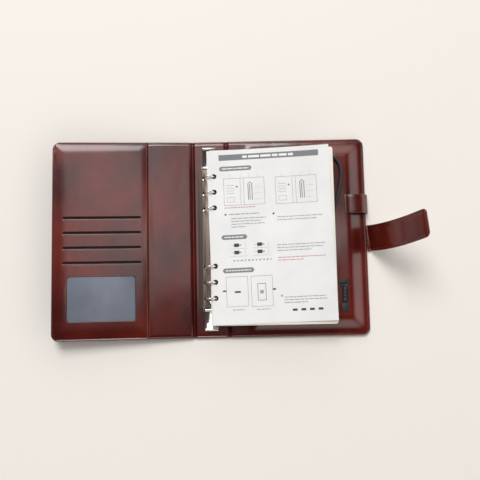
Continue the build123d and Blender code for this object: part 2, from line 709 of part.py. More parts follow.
def lever():
    """The lever at the +Y end: a tab with a barrel on its pin and a rounded lip."""
    half = LEVER_WIDTH / 2
    end = PIN_Y + LEVER_LENGTH - LEVER_LIP_R
    tab = slab(-half, half, PIN_Y, end, PIN_Z - LEVER_THICK / 2, PIN_Z + LEVER_THICK / 2)
    barrel = rod_x(-half, half, PIN_Y, PIN_Z, LEVER_BARREL_R)
    body = tab + barrel + rod_x(-half, half, end, PIN_Z, LEVER_LIP_R)
    body -= rod_x(-half - 1, half + 1, PIN_Y, PIN_Z, PIN_R + PIN_FIT)
    return body.rotate(Axis((0, PIN_Y, PIN_Z), (1, 0, 0)), LEVER_TILT)


# ---------- paper ----------
def hole_channels():
    """The rings' path through the paper, at every hole."""
    return [Pos(0, y, RING_Z) * Rot(90, 0, 0) * Torus(RING_R, HOLE_R) for y in RING_YS]


def tilt_pages(shape):
    return about_y(shape, 0, RING_Z, -PAGE_TILT)


def page_block():
    half = PAGE_HEIGHT / 2
    block = slab(PAGE_EDGE_X, PAGE_EDGE_X + PAGE_WIDTH, -half, half, PAGE_BOTTOM, PAGE_TOP)
    for channel in hole_channels():
        block -= channel
    return tilt_pages(block)


def leaflet():
    """A loose printed sheet on the pages, slightly askew, curling up at the fore edge."""
    z0, z1 = PAGE_TOP + LEAFLET_GAP, PAGE_TOP + LEAFLET_GAP + LEAFLET_THICK
    x_start, x_end = -RING_R, PAGE_EDGE_X + LEAFLET_WIDTH + 2 * RING_R
    run = x_end - CURL_START
    radius = (run ** 2 + CURL_RISE ** 2) / (2 * CURL_RISE)
    sweep_angle = math.degrees(math.asin(run / radius))
    lower = CenterArc((CURL_START, z0 + radius), radius, -90, sweep_angle)
    upper = CenterArc((CURL_START, z0 + radius), radius - LEAFLET_THICK, -90, sweep_angle)
    outline = [Line((x_start, z0), (CURL_START, z0)), lower, Line(lower @ 1, upper @ 1), upper,
               Line((CURL_START, z1), (x_start, z1)), Line((x_start, z1), (x_start, z0))]
    face = Plane(origin=(0, 0, 0), x_dir=(1, 0, 0), z_dir=(0, -1, 0)) * make_face(outline)
    sheet = extrude(face, amount=LEAFLET_HEIGHT, both=True)
    centre = Pos(PAGE_EDGE_X + PAGE_WIDTH / 2 + LEAFLET_SHIFT[0], LEAFLET_SHIFT[1], PAGE_TOP)
    sheet &= centre * Rot(0, 0, LEAFLET_TWIST) * Box(LEAFLET_WIDTH, LEAFLET_HEIGHT, 8 * CURL_RISE)
    hole_x = math.sqrt(RING_R ** 2 - ((z0 + z1) / 2 - RING_Z) ** 2)
    for y in RING_YS:
        sheet -= disc(hole_x, y, HOLE_R, z0 - 1, z1 + 1)
    return tilt_pages(one(sheet))


# ---------- front cover ----------
def front_layer(z0, z1, x_in):
    """A full layer of the front cover, laid out on the +X side."""
    return cover_sheet(0, x_in, z0, z1) - MITRE


def place_front(shape):
    """Takes a piece laid out on the +X side to the front cover as it stands."""
    return about_y(mirror_x(shape), -FOLD_X, FOLD_Z, FRONT_TILT)


def window_block(grow, z0, z1):
    return rounded(WINDOW_X, WINDOW_Y, WINDOW_SIZE[0] + grow, WINDOW_SIZE[1] + grow, WINDOW_R, z0, z1)


def backing_block():
    return slab(POCKET_EDGE_X + BACKING_INSET, COVER_X - BACKING_INSET, -HALF + BACKING_INSET,
                HALF - BACKING_INSET, COVER_TOP, FILM_BOTTOM)


def id_window():
    return window_block(2 * WINDOW_LAP, FILM_BOTTOM, FILM_BOTTOM + WINDOW_THICK)


def pocket_panel():
    panel = front_layer(COVER_TOP, POCKET_TOP, POCKET_EDGE_X) - backing_block()
    for y in SLOT_YS:
        panel -= rounded(SLOT_X, y, SLOT_LENGTH, SLOT_WIDTH, SLOT_WIDTH / 2 - 0.05, FILM_BOTTOM, POCKET_TOP)
    return panel - id_window() - window_block(0, FILM_BOTTOM, POCKET_TOP)


def clasp_plate():
    """The steel disc that the strap's magnet holds on to."""
    return disc(CLASP_X, CLASP_Y, CLASP_PLATE_R, SKIN, SKIN + CLASP_PLATE_THICK)


def front_board():
    return cover_board() - clasp_plate()


# ---------- strap ----------
def strap_segment(start_xz, heading, length, t_low, t_high):
    """A bent strip in X and Z: it starts at a point with a heading and bends outwards."""
    radius = length / math.radians(STRAP_BEND)
    a = math.radians(heading)
    centre = (start_xz[0] + radius * math.sin(a), start_xz[1] - radius * math.cos(a))
    start_angle = heading + 90
    inner = CenterArc(centre, radius + t_low, start_angle, -STRAP_BEND)
    outer = CenterArc(centre, radius + t_high, start_angle, -STRAP_BEND)
    face = make_face([inner, Line(inner @ 1, outer @ 1), outer, Line(outer @ 0, inner @ 0)])
    face = Plane(origin=(0, STRAP_Y, 0), x_dir=(1, 0, 0), z_dir=(0, -1, 0)) * face
    return extrude(face, amount=STRAP_HALF, both=True)


def segment_end(start_xz, heading, length):
    radius = length / math.radians(STRAP_BEND)
    a, b = math.radians(heading), math.radians(heading - STRAP_BEND)
    return (start_xz[0] + radius * (math.sin(a) - math.sin(b)),
            start_xz[1] + radius * (math.cos(b) - math.cos(a)))


def skew_strap(shape):
    return shape.rotate(Axis((STRAP_AXIS[0], STRAP_Y, 0), (0, 0, 1)), STRAP_SKEW)


def step(start_xz, heading, distance):
    a = math.radians(heading)
    return start_xz[0] + distance * math.cos(a), start_xz[1] + distance * math.sin(a)


ROOT_START = (STRAP_AXIS[0], STRAP_AXIS[2])
ROOT_END = segment_end(ROOT_START, STRAP_START, STRAP_ROOT_LENGTH)
MIDDLE_HEADING = STRAP_START - STRAP_BEND
MIDDLE_AXIS = step(ROOT_END, MIDDLE_HEADING, STRAP_R + STRAP_JOINT_GAP)
TIP_START = step(MIDDLE_AXIS, MIDDLE_HEADING, STRAP_R + STRAP_JOINT_GAP)


def strap_knuckle(x, z):
    """A round edge of the strap on a fold's axis."""
    return rod_y(x, STRAP_Y - STRAP_HALF, STRAP_Y + STRAP_HALF, z, STRAP_R)


def strap_root():
    strip = strap_segment(ROOT_START, STRAP_START, STRAP_ROOT_LENGTH, -STRAP_R, STRAP_R)
    return skew_strap(one(strip + strap_knuckle(*ROOT_START)))


def magnet_at(t_low, t_high):
    """A disc in the tip, between two depths across the strap."""
    share = MAGNET_PLACE / STRAP_TIP_LENGTH
    radius = STRAP_TIP_LENGTH / math.radians(STRAP_BEND)
    a = math.radians(MIDDLE_HEADING)
    centre = (TIP_START[0] + radius * math.sin(a), TIP_START[1] - radius * math.cos(a))
    angle = math.radians(MIDDLE_HEADING + 90 - STRAP_BEND * share)
    out = (math.cos(angle), math.sin(angle))
    base = (centre[0] + (radius + t_low) * out[0], centre[1] + (radius + t_low) * out[1])
    plane = Plane(origin=(base[0], STRAP_Y, base[1]), z_dir=(out[0], 0, out[1]))
    return plane * Cylinder(MAGNET_R, t_high - t_low, align=(Align.CENTER, Align.CENTER, Align.MIN))


def tip_layer(t_low, t_high):
    strip = strap_segment(TIP_START, MIDDLE_HEADING, STRAP_TIP_LENGTH, t_low, t_high)
    ends = strip.faces().sort_by(Axis.X)[-1].edges()
    across = sorted(ends, key=lambda e: abs(e.center().Y - STRAP_Y))[-2:]
    return fillet(across, STRAP_END_R)


def strap_tip_outer():
    """The leather that shows when the strap is closed, with the knuckle of the middle fold."""
    link_length = STRAP_R + STRAP_JOINT_GAP + STRAP_LINK_LAP
    link = strap_segment(MIDDLE_AXIS, MIDDLE_HEADING, link_length, -STRAP_R, 0)
    return skew_strap(one(tip_layer(-STRAP_R, 0) + strap_knuckle(*MIDDLE_AXIS) + link))


def strap_tip_lining():
    return skew_strap(one(tip_layer(0, STRAP_R) - magnet_at(-MAGNET_FIT, MAGNET_THICK)))


def clasp_magnet():
    return skew_strap(magnet_at(MAGNET_FIT, MAGNET_THICK))


# ---------- build ----------
write("back_outer_skin", cover_skin())
board = cover_board()
write("back_board", board - disc(COIL_X, 0, FERRITE_R + FERRITE_FIT, SKIN, BOARD_TOP))
write("wireless_coil", wireless_coil())
write("ferrite_sheet", ferrite_sheet())
write("back_inner_panel", back_inner_panel())
write("pack_foam", pack_inside() - tray_block(BOARD_TOP, LID_TOP))
write("power_bank_tray", power_bank_tray())
write("power_bank_lid", power_bank_lid())
write("tray_screws", tray_screws())
write("battery_cell_inner", battery_cell(0))
write("battery_cell_outer", battery_cell(1))
write("main_board", main_board())
write("tact_switch", tact_switch())
write("status_lights", status_lights())
write("usb_socket", usb_socket())
write("control_bezel", control_bezel())
write("power_button", power_button())
write("port_flap", port_flap())
write("pen_loop", pen_loop())
write("cable_grommet", cable_grommet())
write("charge_cable", charge_cable())
write("cable_plug", cable_plug())
write("cable_sleeve", cable_sleeve())
write("strap_anchor", strap_anchor())

write("spine_outer_skin", spine_layer(0, SKIN))
write("spine_board", rivet_holes(spine_layer(SKIN, SKIN + SPINE_BOARD), SKIN, SPINE_TOP))
write("spine_liner", rivet_holes(spine_layer(SKIN + SPINE_BOARD, SPINE_TOP), SKIN, SPINE_TOP + 1))
write("back_hinge_bead", hinge_bead())
write("front_hinge_bead", mirror_x(hinge_bead()))
write("ring_plate", ring_plate())
write("plate_rivets", plate_rivets())
write("lever_pins", lever_pins())

write("right_blade", ring_blade())
write("right_half_rings", half_rings())
write("left_blade", mirror_x(ring_blade()))
write("left_half_rings", mirror_x(half_rings()))
write("upper_lever", lever())
write("lower_lever", mirror(lever(), about=Plane.XZ))

write("page_block", page_block())
write("leaflet", leaflet())

write("front_outer_skin", place_front(cover_skin()))
write("front_board", place_front(front_board()))
write("clasp_plate", place_front(clasp_plate()))
write("front_liner", place_front(front_layer(BOARD_TOP, COVER_TOP, FOLD_X + HINGE_GAP)))
write("pocket_panel", place_front(pocket_panel()))
write("pocket_backing", place_front(backing_block()))
write("id_window", place_front(id_window()))

write("strap_root", strap_root())
write("strap_tip_outer", strap_tip_outer())
write("strap_tip_lining", strap_tip_lining())
write("clasp_magnet", clasp_magnet())

print("strap axes", [round(v, 3) for v in STRAP_AXIS], [round(v, 3) for v in MIDDLE_AXIS])
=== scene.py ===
import bmesh
import bpy
import json
import math
import random
from mathutils import Matrix, Vector, noise


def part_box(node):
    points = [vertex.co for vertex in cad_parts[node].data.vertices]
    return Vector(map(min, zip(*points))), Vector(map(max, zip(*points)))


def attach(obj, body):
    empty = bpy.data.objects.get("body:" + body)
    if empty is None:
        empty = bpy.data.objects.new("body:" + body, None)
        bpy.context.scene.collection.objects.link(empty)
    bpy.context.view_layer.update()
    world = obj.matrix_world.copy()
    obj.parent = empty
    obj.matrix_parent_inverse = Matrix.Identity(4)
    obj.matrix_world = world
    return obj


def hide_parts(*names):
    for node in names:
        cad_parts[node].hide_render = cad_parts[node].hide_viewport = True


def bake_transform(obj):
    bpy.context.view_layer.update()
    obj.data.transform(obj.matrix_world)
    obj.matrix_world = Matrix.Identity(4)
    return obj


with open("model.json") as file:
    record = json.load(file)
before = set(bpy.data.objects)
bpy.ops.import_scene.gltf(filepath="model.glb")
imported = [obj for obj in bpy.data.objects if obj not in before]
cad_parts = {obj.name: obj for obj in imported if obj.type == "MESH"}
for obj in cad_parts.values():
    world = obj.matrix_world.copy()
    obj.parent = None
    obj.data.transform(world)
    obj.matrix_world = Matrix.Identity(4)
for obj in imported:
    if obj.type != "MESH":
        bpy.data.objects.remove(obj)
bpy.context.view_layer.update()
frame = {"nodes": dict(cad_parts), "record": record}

# ------------------------------------------------------------
# The table and the studio. The book lies open on a plain pale table, with one wide soft light
# beyond the heads of the pages and two small ones overhead, in a pale room that is dark above and
# to the left. The camera hangs nearly straight above it.

MM = 0.001
CAMERA_PLACE = (34.71, -87.97, 800.03)
CAMERA_LEAN = -0.00141
CAMERA_NOD = 0.10689
CAMERA_ROLL = -0.02137
CAMERA_LENS = 49.41


def put(name, data):
    """A new object in the scene."""
    made = bpy.data.objects.new(name, data)
    bpy.context.scene.collection.objects.link(made)
    return made


camera_data = bpy.data.cameras.new("studio_camera")
camera_data.lens = CAMERA_LENS
camera_data.sensor_width = 36.0
camera_data.clip_end = 20.0
camera = put("studio_camera", camera_data)
camera.matrix_world = (Matrix.Translation(Vector(CAMERA_PLACE) * MM)
                       @ Matrix.Rotation(CAMERA_LEAN, 4, "Y") @ Matrix.Rotation(CAMERA_NOD, 4, "X")
                       @ Matrix.Rotation(CAMERA_ROLL, 4, "Z"))
bpy.context.scene.camera = camera


def colour(hex_value):
    """An sRGB hex colour as linear RGBA."""
    parts = [int(hex_value[i:i + 2], 16) / 255 for i in (1, 3, 5)]
    return [c / 12.92 if c <= 0.04045 else ((c + 0.055) / 1.055) ** 2.4 for c in parts] + [1.0]


def add_node(tree, kind, links=None, **settings):
    """Adds a node with its settings; a link is a socket, a node's first output or a plain value."""
    node = tree.nodes.new(kind)
    for name, value in settings.items():
        setattr(node, name, value)
    for socket, value in (links or {}).items():
        if isinstance(value, bpy.types.Node):
            value = value.outputs[0]
        if isinstance(value, bpy.types.NodeSocket):
            tree.links.new(value, node.inputs[socket])
        else:
            node.inputs[socket].default_value = value
    return node


def new_finish(name, base, roughness, **sockets):
    """A surface with one shader; sockets are set by their names with _ for a space."""
    made = bpy.data.materials.new(name)
    made.use_nodes = True
    shader = made.node_tree.nodes["Principled BSDF"]
    shader.inputs["Base Color"].default_value = colour(base)
    shader.inputs["Roughness"].default_value = roughness
    for socket, value in sockets.items():
        shader.inputs[socket.replace("_", " ")].default_value = value
    return made, made.node_tree, shader


def mottle(tree, shader, size_mm, shades):
    """Clouds of colour of a given size over a piece, between two shades."""
    place = add_node(tree, "ShaderNodeTexCoord")
    clouds = add_node(tree, "ShaderNodeTexNoise", {"Vector": place.outputs["Object"],
                                                   "Scale": 1 / (size_mm * MM), "Detail": 3.0})
    ramp = add_node(tree, "ShaderNodeValToRGB", {"Fac": clouds})
    for stop, shade, where in zip(ramp.color_ramp.elements, shades, (0.35, 0.68)):
        stop.color = colour(shade)
        stop.position = where
    tree.links.new(ramp.outputs["Color"], shader.inputs["Base Color"])
    return clouds


def bumps(tree, shader, layers, draw_out=1.0):
    """Relief from noise layers; each is a grain size and a depth in mm, drawn out along Y."""
    place = add_node(tree, "ShaderNodeTexCoord")
    drawn = add_node(tree, "ShaderNodeMapping", {"Vector": place.outputs["Object"],
                                                 "Scale": (1.0, 1 / draw_out, 1.0)})
    normal = None
    for size_mm, depth_mm in layers:
        grain = add_node(tree, "ShaderNodeTexNoise", {"Vector": drawn, "Scale": 1 / (size_mm * MM),
                                                      "Detail": 2.0})
        links = {"Height": grain, "Distance": depth_mm * MM, "Strength": 1.0}
        if normal is not None:
            links["Normal"] = normal
        normal = add_node(tree, "ShaderNodeBump", links).outputs["Normal"]
    tree.links.new(normal, shader.inputs["Normal"])


def surface(name, base, roughness, clouds=None, grain=(), draw_out=1.0, **sockets):
    """A finish with clouds of colour, as a size in mm and two shades, and with relief."""
    made, tree, shader = new_finish(name, base, roughness, **sockets)
    if clouds:
        mottle(tree, shader, clouds[0], clouds[1:])
    if grain:
        bumps(tree, shader, grain, draw_out)
    return made


# Painted board under the book: warm white, matt, with a trace of tooth.
table_paint = surface("painted_table", "#F4EFE9", 0.75, grain=[(6.0, 0.02)])
table_mesh = bpy.data.meshes.new("table_top")
TABLE_HALF = 6.0
TABLE_DROP = 0.0002
table_mesh.from_pydata([(side_x * TABLE_HALF, side_y * TABLE_HALF, -TABLE_DROP)
                        for side_x, side_y in ((-1, -1), (1, -1), (1, 1), (-1, 1))], [], [(0, 1, 2, 3)])
table_mesh.materials.append(table_paint)
table_top = put("table_top", table_mesh)


def soft_light(name, place, target, width, power):
    """A square studio light that faces a target."""
    data = bpy.data.lights.new(name, "AREA")
    data.shape = "SQUARE"
    data.size = width
    data.energy = power
    lamp = put(name, data)
    aim = Vector(target) - Vector(place)
    lamp.matrix_world = Matrix.Translation(place) @ aim.to_track_quat("-Z", "Y").to_matrix().to_4x4()


soft_light("softbox_heads", (-0.9, 3.3, 4.7), (0, 0, 0), 2.8, 228.0)
soft_light("softbox_left", (-0.06, 0.27, 1.7), (0, 0, 0), 0.6, 2.0)
soft_light("softbox_right", (0.37, 0.20, 1.7), (0.1, 0, 0), 0.16, 0.34)
room = bpy.data.worlds.new("pale_room")
room.use_nodes = True
room_sky = add_node(room.node_tree, "ShaderNodeSeparateXYZ",
                    {"Vector": add_node(room.node_tree, "ShaderNodeTexCoord")})
room_left = add_node(room.node_tree, "ShaderNodeMath", {0: room_sky, 1: 0.0}, operation="MINIMUM")
room_side = add_node(room.node_tree, "ShaderNodeMath", {0: room_left, 1: -0.6, 2: room_sky.outputs["Z"]},
                     operation="MULTIPLY_ADD")
room_shade = add_node(room.node_tree, "ShaderNodeValToRGB", {"Fac": room_side})
for stop, shade, height in zip(room_shade.color_ramp.elements, ("#FFFDFA", "#3A3635"), (0.42, 0.74)):
    stop.color = colour(shade)
    stop.position = height
room.node_tree.links.new(room_shade.outputs["Color"], room.node_tree.nodes["Background"].inputs["Color"])
room.node_tree.nodes["Background"].inputs["Strength"].default_value = 1.62
bpy.context.scene.world = room
bpy.context.scene.view_settings.view_transform = "Standard"

# ------------------------------------------------------------
# Cover leather: polyurethane on cloth, embossed smooth and waxed, so that it pulls up paler where
# it is worked. It is deep burgundy and glossy, with broad soft reflections and a very fine grain.

leather, leather_tree, leather_shader = new_finish(
    "burgundy_waxed_leather", "#5A120A", 0.3, Coat_Weight=0.4, Coat_Roughness=0.12, IOR=1.5)
leather_clouds = mottle(leather_tree, leather_shader, 70.0, ("#3F0904", "#66190D"))
bumps(leather_tree, leather_shader, [(30.0, 0.9), (1.0, 0.02)], draw_out=3.5)
leather_gloss = add_node(leather_tree, "ShaderNodeMapRange",
                         {"Value": leather_clouds, "To Min": 0.19, "To Max": 0.3})
leather_tree.links.new(leather_gloss.outputs["Result"], leather_shader.inputs["Roughness"])

back_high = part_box("back_outer_skin")[1]
panel_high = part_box("back_inner_panel")[1]
COVER_X = back_high[0] / MM
COVER_HALF = back_high[1] / MM
PACK_TOP = panel_high[2] / MM
COVER_TOP = 5.0
SPINE_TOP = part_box("spine_liner")[1][2] / MM
FOLD_X = 20.5
FOLD_Z = 0.9
FOLD_HALF = 2.2          # half the width of leather that turns at a fold
FOLD_LEATHER = 1.8       # two leathers glued together
FOLD_BANK = 0.4          # leather over the stiff edges beside a fold
COVER_CORNER = 9.0
SEAM_INSET = 2.6
SEAM_DEPTH = 0.5
SEAM_SPREAD = 0.75
EDGE_STEPS = (0.0, 0.12, 0.4, 0.9, 1.6, 2.1, 2.6, 3.1, 3.8, 5.0, 7.0, 9.0)


def link_mesh(name, mesh, finish, smooth=True):
    """Puts a mesh in the scene with one finish."""
    if finish is not None:
        mesh.materials.clear()
        mesh.materials.append(finish)
    for polygon in mesh.polygons:
        polygon.use_smooth = smooth
    return put(name, mesh)


def crisp(piece, degrees=35):
    """Smooth shading that keeps edges sharper than an angle."""
    with bpy.context.temp_override(object=piece, active_object=piece, selected_editable_objects=[piece]):
        bpy.ops.object.shade_smooth_by_angle(angle=math.radians(degrees))
    return piece


def ruler(start, stop, pitch, start_steps=(), stop_steps=()):
    """Rising values from start to stop, finer near an end that has steps."""
    first = [start + s for s in start_steps] or [start]
    last = [stop - s for s in reversed(stop_steps)] or [stop]
    count = max(1, round((last[0] - first[-1]) / pitch))
    between = [first[-1] + (last[0] - first[-1]) * i / count for i in range(1, count)]
    return first + between + last


def write_shape(shape, mesh):
    """Turns a shape's faces outwards and writes it into a mesh."""
    bmesh.ops.recalc_face_normals(shape, faces=shape.faces)
    shape.to_mesh(mesh)
    shape.free()
    return mesh


def pad(name, us, half, corner, low, high, place, round_end=True):
    """A closed padded sheet: u runs along it, v across; its sides are rounded, and its far end.

    low and high give the faces' heights, and place takes (u, v, height) to the book, in mm."""
    vs = ruler(-half, half, 2.6, EDGE_STEPS, EDGE_STEPS)
    far = us[-1] if round_end else math.inf
    made = bmesh.new()
    faces = {}
    for i, u0 in enumerate(us):
        for j, v0 in enumerate(vs):
            u, v = u0, v0
            edge = min(far - u, half - abs(v))
            a, b = (u - far + corner) / corner, (abs(v) - half + corner) / corner
            if a > 0 and b > 0:
                side = math.copysign(1, v)
                round_a, round_b = a * math.sqrt(1 - b * b / 2), b * math.sqrt(1 - a * a / 2)
                u = far - corner + corner * round_a
                v = side * (half - corner + corner * round_b)
                edge = corner * (1 - math.hypot(round_a, round_b))
            bottom, top = low(u, v), high(u, v)
            middle, thick = (bottom + top) / 2, (top - bottom) / 2
            share = min(max(edge, 0.0) / min(thick, 2.5), 1.0)
            swell = thick * math.sqrt(1 - (1 - share) ** 2)
            for sign in (1, -1):
                spot = Vector(place(u, v, middle + sign * swell)) * MM
                faces[i, j, sign] = made.verts.new(spot)
    for i in range(len(us) - 1):
        for j in range(len(vs) - 1):
            for sign in (1, -1):
                ring = [(i, j), (i + 1, j), (i + 1, j + 1), (i, j + 1)]
                made.faces.new([faces[a, b, sign] for a, b in (ring if sign > 0 else ring[::-1])])
    for i in (0, len(us) - 1):
        for j in range(len(vs) - 1):
            rim = [faces[i, j, 1], faces[i, j + 1, 1], faces[i, j + 1, -1], faces[i, j, -1]]
            made.faces.new(rim)
    bmesh.ops.remove_doubles(made, verts=made.verts, dist=1e-7)
    bmesh.ops.dissolve_degenerate(made, edges=made.edges, dist=1e-7)
    return crisp(link_mesh(name, write_shape(made, bpy.data.meshes.new(name)), leather), 60)


def seam_dip(u, v):
    """How far the thread pulls the leather down along the perimeter seam."""
    edge = min(COVER_X - u, COVER_HALF - abs(v))
    return SEAM_DEPTH * math.exp(-((edge - SEAM_INSET) / SEAM_SPREAD) ** 2)


def waviness(u, v, depth, seed):
    """Slow hills in leather that isn't stretched quite flat."""
    return depth * noise.noise(Vector((u / 46.0, v / 60.0, seed)))


def fold_profile(u, top):
    """Height of the inner face near a fold: two 45 degree banks down to the doubled leather."""
    stiff_top = SPINE_TOP if u < FOLD_X else top
    return min(max(FOLD_Z + FOLD_BANK + abs(u - FOLD_X), FOLD_LEATHER), stiff_top)


COVER_US = (ruler(0.0, 16.0, 4.0) + ruler(16.6, 25.4, 0.55)
            + ruler(26.2, COVER_X, 2.6, (), EDGE_STEPS))

# ------------------------------------------------------------
# Back cover: leather over board, with a padded pack that holds the power bank. The pack's leather
# is stretched over foam, with mitred slopes; the whole is one skin down to the middle of the spine.

PACK_FOOT_X = (46.0, 183.0)
PACK_TOP_X = (58.0, 169.0)
PACK_FOOT_HALF = 112.5
PACK_TOP_HALF = 99.5
PACK_SOFTNESS = 0.10
MITRE_SOFTNESS = 0.07


def soft_min(values, softness):
    """A minimum with its corner rounded."""
    total = sum(math.exp(-value / softness) for value in values)
    return -softness * math.log(total)


def pack_height(u, v):
    """The pack's rise above the flat margin."""
    left = (u - PACK_FOOT_X[0]) / (PACK_TOP_X[0] - PACK_FOOT_X[0])
    right = (PACK_FOOT_X[1] - u) / (PACK_FOOT_X[1] - PACK_TOP_X[1])
    ends = (PACK_FOOT_HALF - abs(v)) / (PACK_FOOT_HALF - PACK_TOP_HALF)
    slope = soft_min([left, right, ends], MITRE_SOFTNESS)
    clipped = soft_min([slope, 1.0 + PACK_SOFTNESS * 0.5], PACK_SOFTNESS)
    lifted = PACK_SOFTNESS * math.log(1 + math.exp(min(clipped / PACK_SOFTNESS, 50.0)))
    return (PACK_TOP - COVER_TOP) * min(lifted, 1.0)


def back_inner_face(u, v):
    top = COVER_TOP + pack_height(u, v) + waviness(u, v, 0.22, 3.0)
    return fold_profile(u, top) - seam_dip(u, v)


def outer_face(u, v):
    """The outside lies on the table, with a shallow valley along the fold."""
    return 0.3 * math.exp(-((u - FOLD_X) / 1.3) ** 2)


back_leather = pad("back_cover_leather", COVER_US, COVER_HALF, COVER_CORNER,
                   outer_face, back_inner_face, lambda u, v, h: (u, v, h))
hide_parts("back_outer_skin", "back_inner_panel", "back_hinge_bead",
            "spine_outer_skin", "spine_liner")
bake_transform(back_leather)

# ------------------------------------------------------------
# Front cover: the same leather over board, which stands up five degrees from the table by itself.
# It is laid out on the back cover's side and then turned over to its own.

FRONT_TILT = math.radians(5.0)
LINER_SWELL = 0.35       # the lining beside the card panel isn't stretched flat
PANEL_START = 72.0       # from here the lining is pressed under the card panel


def stand_front(u, v, h):
    """Mirrors a point to the front cover and lifts it about the front fold."""
    share = min(max((u - FOLD_X + FOLD_HALF) / (2 * FOLD_HALF), 0.0), 1.0)
    angle = FRONT_TILT * share * share * (3 - 2 * share)
    reach, rise = u - FOLD_X, h - FOLD_Z
    return (-FOLD_X - reach * math.cos(angle) + rise * math.sin(angle), v,
            FOLD_Z + rise * math.cos(angle) + reach * math.sin(angle))


def front_inner_face(u, v):
    top = COVER_TOP + LINER_SWELL + waviness(u, v, 0.25, 11.0)
    if u > PANEL_START:
        top = COVER_TOP - 0.05
    return fold_profile(u, top) - seam_dip(u, v)


front_leather = pad("front_cover_leather", COVER_US, COVER_HALF, COVER_CORNER,
                    outer_face, front_inner_face, stand_front)
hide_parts("front_outer_skin", "front_liner", "front_hinge_bead")
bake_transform(front_leather)

# ------------------------------------------------------------
# Card panel: one sheet of the same leather sewn on the front cover, with four card slots and a
# window. Slots and window are punched through, and their rims are pressed soft.

POCKET_EDGE = 74.5
POCKET_TOP = 6.4
SLOT_LENGTH = 92.5
SLOT_WIDTH = 2.8
SLOT_U = 130.5
SLOT_VS = (26.5, 8.5, -9.5, -27.5)
WINDOW_SIZE = (80.0, 53.0)
WINDOW_CENTRE = (131.0, -70.6)
WINDOW_CORNER = 4.0


def round_outline(u, v, width, height, radii, steps=8):
    """Points round a rectangle; radii are for its near-low, far-low, far-high, near-high corners."""
    points = []
    corners = [(-1, -1, 180), (1, -1, 270), (1, 1, 0), (-1, 1, 90)]
    for (su, sv, start), radius in zip(corners, radii):
        cu, cv = u + su * (width / 2 - radius), v + sv * (height / 2 - radius)
        for k in range(steps + 1):
            angle = math.radians(start + 90 * k / steps)
            points.append((cu + radius * math.cos(angle), cv + radius * math.sin(angle)))
    return points


def worked_out(piece, remove=True):
    """An object's mesh with its modifiers applied; the object itself is removed unless it's kept."""
    bpy.context.view_layer.update()
    mesh = bpy.data.meshes.new_from_object(piece.evaluated_get(bpy.context.evaluated_depsgraph_get()))
    if remove:
        bpy.data.objects.remove(piece)
    return mesh


def punched_sheet(name, outlines, low, high, rim=0.0, grid=0.0):
    """A flat sheet between two heights; the first outline is its edge, the others are holes.

    With a grid, its faces are cut to that size in mm, so that it can be shaped further."""
    data = bpy.data.curves.new(name, "CURVE")
    data.dimensions = "2D"
    data.fill_mode = "BOTH"
    data.extrude = ((high - low) / 2 - rim) * MM
    data.bevel_depth = rim * MM
    data.bevel_resolution = 2
    data.offset = -rim * MM
    for outline in outlines:
        spline = data.splines.new("POLY")
        spline.points.add(len(outline) - 1)
        for point, (u, v) in zip(spline.points, outline):
            point.co = (u * MM, v * MM, 0, 1)
        spline.use_cyclic_u = True
    mesh = worked_out(put(name, data))
    shape = bmesh.new()
    shape.from_mesh(mesh)
    bmesh.ops.translate(shape, verts=shape.verts, vec=(0, 0, (low + high) / 2 * MM))
    bmesh.ops.remove_doubles(shape, verts=shape.verts, dist=1e-7)
    for axis, way in ((0, (1, 0, 0)), (1, (0, 1, 0))):
        ends = [point[axis] for point in outlines[0]]
        for cut in ruler(min(ends), max(ends), grid)[1:-1] if grid else ():
            bmesh.ops.bisect_plane(shape, geom=shape.verts[:] + shape.edges[:] + shape.faces[:], dist=1e-8,
                                   plane_co=Vector(way) * cut * MM, plane_no=way)
    return write_shape(shape, mesh)


def move_points(mesh, place):
    """Sends every point of a mesh laid out in mm through a placing function."""
    for vertex in mesh.vertices:
        vertex.co = Vector(place(*(vertex.co / MM))) * MM
    mesh.update()


def right_way_out(mesh):
    """Turns a closed mesh's faces outwards."""
    shape = bmesh.new()
    shape.from_mesh(mesh)
    write_shape(shape, mesh)


PANEL_INSET = 0.9
panel_far = COVER_X - PANEL_INSET
panel_edge = round_outline((POCKET_EDGE + panel_far) / 2, 0, panel_far - POCKET_EDGE,
                           2 * (COVER_HALF - PANEL_INSET), (0.6, 8.2, 8.2, 0.6))
slots = [round_outline(SLOT_U, v, SLOT_LENGTH, SLOT_WIDTH, (SLOT_WIDTH / 2 - 0.02,) * 4)
         for v in SLOT_VS]
window_edge = round_outline(*WINDOW_CENTRE, *WINDOW_SIZE, (WINDOW_CORNER,) * 4)
pocket_mesh = punched_sheet("card_panel", [panel_edge] + slots + [window_edge], COVER_TOP, POCKET_TOP,
                            0.35, grid=3.0)


def panel_rise(u, v):
    """The padded panel swells from its seams."""
    edge = min(COVER_X - u, COVER_HALF - abs(v), u - POCKET_EDGE + 3.0)
    swell = 0.9 * (1 - math.exp(-(max(edge - SEAM_INSET, 0.0) / 7.0) ** 2)) - 0.55
    seam = 0.35 * math.exp(-((edge - SEAM_INSET) / 0.8) ** 2)
    return swell - seam + waviness(u, v, 0.2, 5.0)


def place_panel(u, v, h):
    lifted = h + panel_rise(u, v) * (1.0 if h > (COVER_TOP + POCKET_TOP) / 2 else 0.0)
    return stand_front(u, v, lifted)


move_points(pocket_mesh, place_panel)
right_way_out(pocket_mesh)
card_panel = crisp(link_mesh("card_panel", pocket_mesh, leather), 50)
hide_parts("pocket_panel")
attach(card_panel, "front_cover")

# ------------------------------------------------------------
# Window: a sheet of frosted blue-grey film behind the panel, for a card that is left in.

